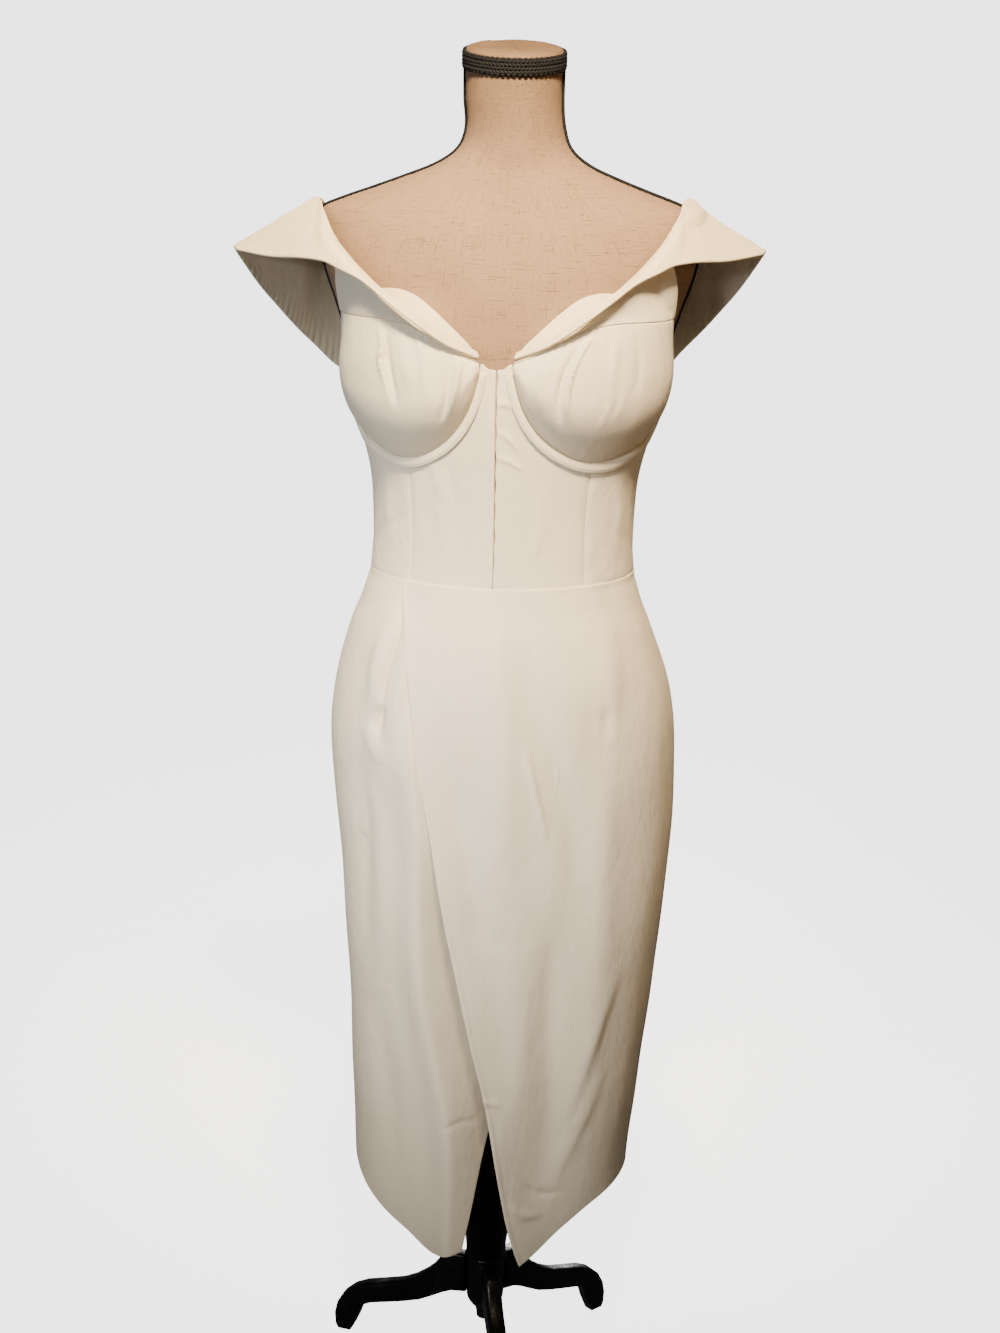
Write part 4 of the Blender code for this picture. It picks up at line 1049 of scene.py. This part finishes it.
def collar_gap(points):
    """Clearance of a collar from the form: more where it crosses the piping or lies on the bodice."""
    u = np.arctan2(points[..., 0], -points[..., 1])
    over_piping = OVER_PIPING * np.exp(-((np.abs(u) - math.pi / 2) / 0.12) ** 2)
    over_bodice = OVER_BODICE * (1 - ramp(points[..., 2], 1.040, 1.055))
    on_shoulder = ON_SHOULDER * ramp(points[..., 2], 1.150, 1.168)
    return COLLAR_GAP - on_shoulder + np.maximum(over_piping, over_bodice)


def collar_half(side, side_name, table, stations, across):
    """Grid of one half of the collar, laid on the form and smoothed, and its shares along and across."""
    s = np.linspace(0, 1, stations)
    values = read(table, s)
    t = np.linspace(0, 1, across)[:, None]
    upper, lower, camber = values[0:3].T[None], values[3:6].T[None], values[6][None]
    grid = upper * (1 - t[..., None]) + lower * t[..., None]
    grid[..., 1] += camber * np.sin(math.pi * t)
    shift = DRESS_X * (1 - ramp(s, 0.40, 0.95)) if table is BACK_COLLAR else np.full(stations, DRESS_X)
    grid[..., 0] = side * grid[..., 0] + shift
    grid[..., 2] += WING_LIFT[side_name] * (1 - s) ** 1.8
    home = grid[:, -1:, 0].copy()
    push = resting(grid, collar_gap(grid)) - grid
    for _ in range(SMOOTHINGS):
        push = np.pad(push, ((1, 1), (1, 1), (0, 0)), mode="edge")
        push = (push[1:-1, 1:-1] * 2 + push[:-2, 1:-1] + push[2:, 1:-1] + push[1:-1, :-2] + push[1:-1, 2:]) / 6
    grid = grid + 1.1 * push
    grid = resting(grid, collar_gap(grid))
    if table is BACK_COLLAR:
        grid[..., 0] += (home - grid[:, -1:, 0]) * ramp(s, 0.80, 1.0)
    return grid, s, t


# The front collar's crepe carries a tint of painted warm light.
COLLAR_PAINTED_WARM_LIGHT = ivory("collar_crepe", painted_warm_light=0.55)
# The back collar's crepe is darkened in patches all over: painted shade, for the shade inside the back half.
BACK_CREPE_PAINTED_SHADE = ivory("back_collar_crepe_painted_shade", painted_shade=0.30, painted_shade_colour=(0.55, 0.48, 0.38))
for side_name, side in SIDES:
    front, s, t = collar_half(side, side_name, FRONT_COLLAR, 170, 30)
    soft = unevenness(front[..., 0], front[..., 2], 0.0012, 2 + side)
    soft = soft * np.sin(math.pi * t) * ramp(1 - s, 0.05, 0.25)
    out = normals(front)
    out *= np.sign(-out[..., 1:2] + 1e-9)
    front = front + out * soft[..., None]
    grid = front if side < 0 else front[:, ::-1]
    grid = grid[::-1]
    roll = COLLAR_CLOTH + 0.0010 * np.exp(-((1 - t[::-1]) / 0.10) ** 2) + 0 * s[None]
    front_piece = shell("collar_front_cloth_" + side_name, grid, roll, COLLAR_PAINTED_WARM_LIGHT, rim=6)
    dress_piece(front_piece, grid, "collar_front_" + side_name)

    back, s, t = collar_half(side, side_name, BACK_COLLAR, 150, 44)
    hem = 0.0006 * np.sin(240 * s + 2 * np.sin(31 * s)) * np.exp(-((1 - t) / 0.12) ** 2)
    out = normals(back)
    out *= np.sign(out[..., 1:2] + 1e-9)
    soft = unevenness(back[..., 0], back[..., 2], 0.0010, side) * np.sin(math.pi * t)
    back = back + out * (hem + soft)[..., None]
    grid = back[::-1] if side > 0 else back[::-1, ::-1]
    back_piece = shell("collar_back_cloth_" + side_name, grid, COLLAR_CLOTH, BACK_CREPE_PAINTED_SHADE, rim=6)
    dress_piece(back_piece, grid, "collar_back_" + side_name)


# Skirt. A pencil skirt whose front wraps: the right panel laps over the left one from the waist and falls
# away to a slit, the left one turns in behind it in a long soft fold. Two back panels close it. Plain hem.
LAP, FOLD_OUT, TROUGH_IN, EDGE_OUT, SWAY, EASE = CLOTH + 0.0006, 0.013, 0.028, 0.009, 0.0012, 0.0042
CREST_TOP_Z = 0.73
SIDE_HEM, BACK_HEM = {"left": 0.250, "right": 0.240}, 0.228
OVERLAP_EDGE = (
    # z, x
    (0.1735, 0.0307),
    (0.2132, 0.0200),
    (0.2620, 0.0110),
    (0.3450, -0.0024),
    (0.4017, -0.0150),
    (0.4626, -0.0275),
    (0.5300, -0.0410),
    (0.6170, -0.0563),
    (0.6650, -0.0663),
    (0.7130, -0.0735),
    (0.7590, -0.0800),
    (0.8030, -0.0850),
    (0.8385, -0.0880),
)
UNDER_EDGE = (
    # z, x
    (0.1850, -0.0230),
    (0.2240, -0.0160),
    (0.2740, -0.0076),
    (0.3150, 0.0012),
    (0.4000, 0.0160),
    (0.5300, 0.0360),
    (0.6600, 0.0540),
    (0.8385, 0.0700),
)
FOLD_CREST = (
    # z, x
    (0.1800, -0.0330),
    (0.2700, -0.0330),
    (0.3300, -0.0370),
    (0.4000, -0.0510),
    (0.4540, -0.0600),
    (0.5300, -0.0650),
    (0.6200, -0.0660),
    (0.7300, -0.0780),
)
UNDER_HEM = ((0.00, 0.2500), (0.20, 0.2300), (0.40, 0.2130), (0.60, 0.1960), (0.75, 0.1800), (0.85, 0.1790),
             (1.00, 0.1850))
OVERLAP_HEM = ((0.00, 0.1735), (0.15, 0.1880), (0.30, 0.2060), (0.50, 0.2240), (0.75, 0.2350), (1.00, 0.2400))
UNDER_CREASES = (
    # width, height, lean, path of (x, z)
    (0.0180, 0.0040, 1.0, ((-0.096, 0.830), (-0.104, 0.740), (-0.100, 0.640))),
    (0.0024, -0.0046, 1.0, ((-0.086, 0.836), (-0.091, 0.795), (-0.100, 0.755), (-0.105, 0.712))),
    (0.0060, 0.0040, 0.8, ((-0.079, 0.815), (-0.083, 0.770), (-0.090, 0.722), (-0.094, 0.690))),
    (0.0055, 0.0036, 1.2, ((-0.100, 0.800), (-0.110, 0.762), (-0.116, 0.725))),
    (0.0050, -0.0062, 1.0, ((-0.102, 0.728), (-0.106, 0.716), (-0.107, 0.698))),
    (0.0080, 0.0022, 1.0, ((-0.116, 0.712), (-0.112, 0.690), (-0.100, 0.672))),
    (0.0120, 0.0034, 1.0, ((-0.112, 0.660), (-0.102, 0.560), (-0.104, 0.450))),
    (0.0090, -0.0030, 1.0, ((-0.126, 0.690), (-0.120, 0.600), (-0.116, 0.480))),
    (0.0110, -0.0034, 1.0, ((-0.112, 0.440), (-0.096, 0.350), (-0.088, 0.230))),
    (0.0026, -0.0024, 1.0, ((-0.040, 0.318), (-0.026, 0.322), (-0.012, 0.316))),
)
OVER_CREASES = (
    (0.0056, -0.0022, 1.0, ((0.094, 0.735), (0.0957, 0.716), (0.096, 0.700))),
    (0.0120, 0.0034, 1.0, ((0.092, 0.820), (0.096, 0.770), (0.100, 0.690))),
    (0.0170, 0.0052, 1.0, ((-0.006, 0.830), (0.002, 0.720), (0.006, 0.620), (0.012, 0.500))),
    (0.0150, -0.0050, 1.0, ((0.012, 0.790), (0.040, 0.710), (0.064, 0.640), (0.078, 0.560))),
    (0.0110, -0.0036, 1.0, ((-0.056, 0.730), (-0.040, 0.650), (-0.020, 0.560), (-0.008, 0.490))),
    (0.0040, 0.0024, 0.6, ((0.024, 0.700), (0.036, 0.650), (0.046, 0.610))),
    (0.0024, 0.0026, 1.0, ((-0.018, 0.338), (-0.004, 0.350), (0.010, 0.345))),
    (0.0150, 0.0044, 1.0, ((0.016, 0.520), (0.026, 0.400), (0.030, 0.260))),
    (0.0130, -0.0038, 1.0, ((0.048, 0.560), (0.056, 0.420), (0.056, 0.270))),
    (0.0160, 0.0046, 1.0, ((0.096, 0.700), (0.096, 0.500), (0.086, 0.300))),
    (0.0090, 0.0026, 0.7, ((0.114, 0.470), (0.092, 0.400), (0.072, 0.320))),
    (0.0090, 0.0022, 0.7, ((0.104, 0.370), (0.082, 0.310), (0.060, 0.250))),
    (0.0040, 0.0024, 1.0, ((0.018, 0.240), (0.034, 0.226), (0.052, 0.224))),
    (0.0040, -0.0020, 1.0, ((0.030, 0.260), (0.048, 0.246), (0.070, 0.244))),
)


def off_form(z):
    """Least height of the skirt's cloth over the body: clear of the form, which ends at the thighs."""
    return LAYER - 0.04 * ramp(FORM_BOTTOM_Z - z, 0.0, 0.06)


def ease(u, z):
    """Looseness of the skirt's front over the belly and thighs."""
    return EASE * ramp(0.825 - z, 0.0, 0.08) * ramp(np.cos(u), 0.15, 0.75)


def hipped(z):
    """Cloth of the skirt drawn down into the waist seam."""
    return SEAM_PUFF * (1 - np.exp(-((z - waist(0.3)) / 0.006) ** 2))


def overlap_bearing(z):
    """Bearing of the wrap's free edge at a height."""
    return bearing(read(OVERLAP_EDGE, z)[0], z)


def under_bearing(z):
    """Bearing of the under panel's hidden edge at a height."""
    return bearing(read(UNDER_EDGE, z)[0], z)


def under_out(u, z):
    """Under panel: a crest left of the wrap's edge, from which the cloth slopes in behind the overlap."""
    low = np.minimum(z, CREST_TOP_Z)
    crest = bearing(read(FOLD_CREST, low)[0], low)
    width = np.maximum(overlap_bearing(z) + 0.05 - crest, 0.07)
    past = (u - crest) / width
    slope = np.clip((past + np.sqrt(past ** 2 + 0.004)) / 2, 0, 1)
    rise = FOLD_OUT * (1 - ramp(z, 0.66, 0.76))
    crest_out = rise * np.where(u < crest, np.exp(-((u - crest) / 0.16) ** 2), 1.0) * (1 - slope)
    trough = TROUGH_IN * (1 - ramp(z, 0.48, 0.62)) * slope
    x = section(u, z)[..., 0]
    out = LAYER + hipped(z) + 0.5 * ease(u, z) + crest_out - trough + folds(x, z, UNDER_CREASES)
    out = out + unevenness(x, z, SWAY, 1.0) * ramp(0.82 - z, 0, 0.1)
    return np.maximum(out, off_form(z))


def over_out(u, z):
    """Overlap: one layer further out, back to the first layer past the under panel's hidden edge."""
    edge = overlap_bearing(z)
    past = under_bearing(z)
    free = (1 - ramp(z, 0.55, 0.78)) * np.exp(-((u - edge) / 0.22) ** 2)
    layer = 1 - ramp(u, past + 0.06, past + 0.30)
    x = section(u, z)[..., 0]
    turn = 0.0012 * np.exp(-((u - edge) / 0.020) ** 2) * ramp(0.84 - z, 0, 0.01)
    creases = folds(x, z, OVER_CREASES) + unevenness(x, z, SWAY, 4.0) * ramp(0.82 - z, 0, 0.1)
    out = LAYER + hipped(z) + ease(u, z) + LAP * layer + EDGE_OUT * free + turn + creases
    return np.maximum(out, off_form(z))


def back_out(u, z):
    """Back panels: two soft hanging folds on each side of the centre back, below the hips."""
    low = 1 - ramp(z, 0.40, 0.66)
    x = section(u, z)[..., 0]
    dart = 0.0012 * np.exp(-((np.abs(u) - BACK_DART) / DART_WIDTH) ** 2) * ramp(z, 0.70, 0.74)
    return (LAYER + 0.004 * low * np.sin(4 * (np.abs(u) - math.pi / 2)) ** 2 - dart
            + unevenness(x, z, 0.0014, 6.0) * ramp(0.82 - z, 0, 0.1))


def skirt_grid(low_edge, high_edge, hem, columns, rows, out):
    """Grid of a skirt panel between two edges, which give a bearing at a height, and its shares up and across."""
    s = np.linspace(0, 1, columns + 1)[None]
    t = np.concatenate([[0, 0.002, 0.005, 0.009], np.linspace(0.014, 1, rows - 3)])[:, None]
    foot = hem(s)
    ends = [hem(np.array([[k]])) for k in (0.0, 1.0)]
    low, high = (edge(end + (WAIST_Z - WAIST_DIP - end) * t) for edge, end in zip((low_edge, high_edge), ends))
    u = low + (high - low) * s
    z = foot + (waist(u) - SEAM / 2 - foot) * t
    return skin(u, z, out(u, z)), t, s


SKIRT_CREPE = ivory("skirt_crepe")
side_seam = math.pi / 2 - SEAM / 2 / BODY_RADIUS
under, t, s = skirt_grid(lambda z: -side_seam + 0 * z, under_bearing,
                         lambda k: read(UNDER_HEM, k)[0], 130, 230, under_out)
under_piece = shell("wrap_under", under, CLOTH, SKIRT_CREPE)
dress_piece(under_piece, under, "skirt_front_under")

over, t, s = skirt_grid(overlap_bearing, lambda z: side_seam + 0 * z,
                        lambda k: read(OVERLAP_HEM, k)[0], 150, 230, over_out)
turned_edge = (CLOTH + 0.0014 * np.exp(-(s / 0.022) ** 2) * ramp(t, 0.0, 0.02)
               + 0.0010 * np.exp(-((1 - t) / 0.006) ** 2))
over_piece = shell("wrap_over", over, turned_edge, SKIRT_CREPE, rim=6)
dress_piece(over_piece, over, "skirt_front_overlap")

for side_name, side in SIDES:
    first, last = side * (math.pi / 2 + SEAM / 2 / BODY_RADIUS), side * (math.pi - SEAM / 2 / BODY_RADIUS)
    foot = SIDE_HEM[side_name]
    back, t, s = skirt_grid(lambda z: first + 0 * z, lambda z: last + 0 * z,
                            lambda k: foot + (BACK_HEM - foot) * ramp(k, 0, 1), 80, 150, back_out)
    grid = back if side > 0 else back[:, ::-1]
    back_piece = shell("skirt_back_cloth_" + side_name, grid, CLOTH, SKIRT_CREPE)
    dress_piece(back_piece, grid, "skirt_back_" + side_name)


# Stand. A turned baluster column let into a hub, and three cabriole legs with curled feet screwed to the hub,
# all of hardwood under satin black paint that is rubbed on the edges.
LEG_WIDTH, LEG_ROUND = 0.017, 0.0046
LEGS = (("leg_front", -79.3), ("leg_right", 40.7), ("leg_left", 160.7))
COLUMN_PROFILE = (
    # radius, z
    (0.0, 0.5995), (0.0130, 0.5995), (0.0130, 0.3700), (0.0160, 0.3400), (0.0220, 0.3000), (0.0254, 0.2700),
    (0.0262, 0.2500), (0.0264, 0.2200), (0.0262, 0.1900), (0.0252, 0.1700), (0.0235, 0.1550), (0.0212, 0.1400),
    (0.0203, 0.1310), (0.0205, 0.1230), (0.0213, 0.1222), (0.0216, 0.1210), (0.0216, 0.1200), (0.0213, 0.1188),
    (0.0205, 0.1180), (0.0, 0.1180),
)
HUB_PROFILE = (
    # radius, z
    (0.0, 0.1177), (0.0186, 0.1177), (0.0192, 0.1170), (0.0192, 0.0790), (0.0188, 0.0750), (0.0180, 0.0722),
    (0.0162, 0.0690), (0.0140, 0.0660), (0.0112, 0.0628), (0.0094, 0.0600), (0.0086, 0.0550), (0.0082, 0.0505),
    (0.0074, 0.0495), (0.0, 0.0495),
)
LEG_OUTLINE = (
    # radius from the column's axis, z
    (0.0200, 0.1175), (0.0400, 0.1175), (0.0450, 0.1140), (0.0500, 0.1060), (0.0580, 0.0950), (0.0670, 0.0870),
    (0.0780, 0.0790), (0.0920, 0.0720), (0.1120, 0.0660), (0.1330, 0.0600), (0.1470, 0.0530), (0.1580, 0.0430),
    (0.1650, 0.0310), (0.1680, 0.0180), (0.1670, 0.0060), (0.1640, 0.0000), (0.1500, 0.0000), (0.1460, 0.0080),
    (0.1410, 0.0190), (0.1380, 0.0280), (0.1340, 0.0340), (0.1260, 0.0380), (0.1070, 0.0430), (0.0890, 0.0480),
    (0.0710, 0.0540), (0.0580, 0.0610), (0.0460, 0.0680), (0.0350, 0.0730), (0.0200, 0.0750),
)

paint = Finish("black_wood_paint", Roughness=0.40, Specular_IOR_Level=0.22)
paint_where = paint.place(uv=False)
grain = paint.noise(paint.stretched(paint_where, (240, 240, 30)), 1.0, 3.0)
dust = paint.noise(paint_where, 55, 4.0).between(0.52, 0.74)
paint_tone = paint.blend(dust * 0.35, (0.0045, 0.0042, 0.0042), (0.020, 0.018, 0.017))
BLACK_PAINT = paint.paint(Base_Color=paint_tone, Roughness=0.30 + dust * 0.22,
                          Normal=paint.relief(grain, 0.0004))


def turned_piece(name, profile, node, around=72):
    """Piece turned on a lathe, from half of its profile."""
    profile = np.asarray(profile[1:-1])
    turn = np.linspace(0, 2 * math.pi, around, endpoint=False)
    rings = np.stack([profile[:, :1] * np.cos(turn), profile[:, :1] * np.sin(turn), profile[:, 1:] + 0 * turn], -1)
    points = np.concatenate([rings.reshape(-1, 3), [[0, 0, profile[0, 1]], [0, 0, profile[-1, 1]]]])
    faces = [face[::-1] for face in capped_rings(len(profile), around)]
    thing = piece(name, standing(points), faces, np.zeros((len(points), 2)), BLACK_PAINT, 42)
    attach(thing, "root")
    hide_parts(node)


turned_piece("turned_column", COLUMN_PROFILE, "stand_column")
turned_piece("turned_hub", HUB_PROFILE, "stand_hub")
for leg_name, direction in LEGS:
    curve = bpy.data.curves.new(leg_name + "_outline", "CURVE")
    curve.dimensions = "2D"
    curve.fill_mode = "BOTH"
    curve.extrude = LEG_WIDTH / 2 - LEG_ROUND
    curve.bevel_depth = LEG_ROUND
    curve.offset = -LEG_ROUND
    curve.bevel_resolution = 4
    spline = curve.splines.new("POLY")
    spline.points.add(len(LEG_OUTLINE) - 1)
    for point, (radius, z) in zip(spline.points, LEG_OUTLINE):
        point.co = (radius, z, 0, 1)
    spline.use_cyclic_u = True
    shape = bpy.data.objects.new("outline", curve)
    bpy.context.scene.collection.objects.link(shape)
    bpy.context.view_layer.update()
    mesh = bpy.data.meshes.new_from_object(shape.evaluated_get(bpy.context.evaluated_depsgraph_get()))
    bpy.data.objects.remove(shape)
    mesh.transform(Matrix.Translation(COLUMN) @ Matrix.Rotation(math.radians(direction), 4, "Z")
                   @ Matrix.Rotation(math.pi / 2, 4, "X"))
    mesh.name = leg_name + "_carved"
    mesh.materials.clear()
    mesh.materials.append(BLACK_PAINT)
    mesh.shade_smooth()
    mesh.set_sharp_from_angle(angle=math.radians(50))
    leg = bpy.data.objects.new(leg_name + "_carved", mesh)
    bpy.context.scene.collection.objects.link(leg)
    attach(leg, "root")
    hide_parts(leg_name)
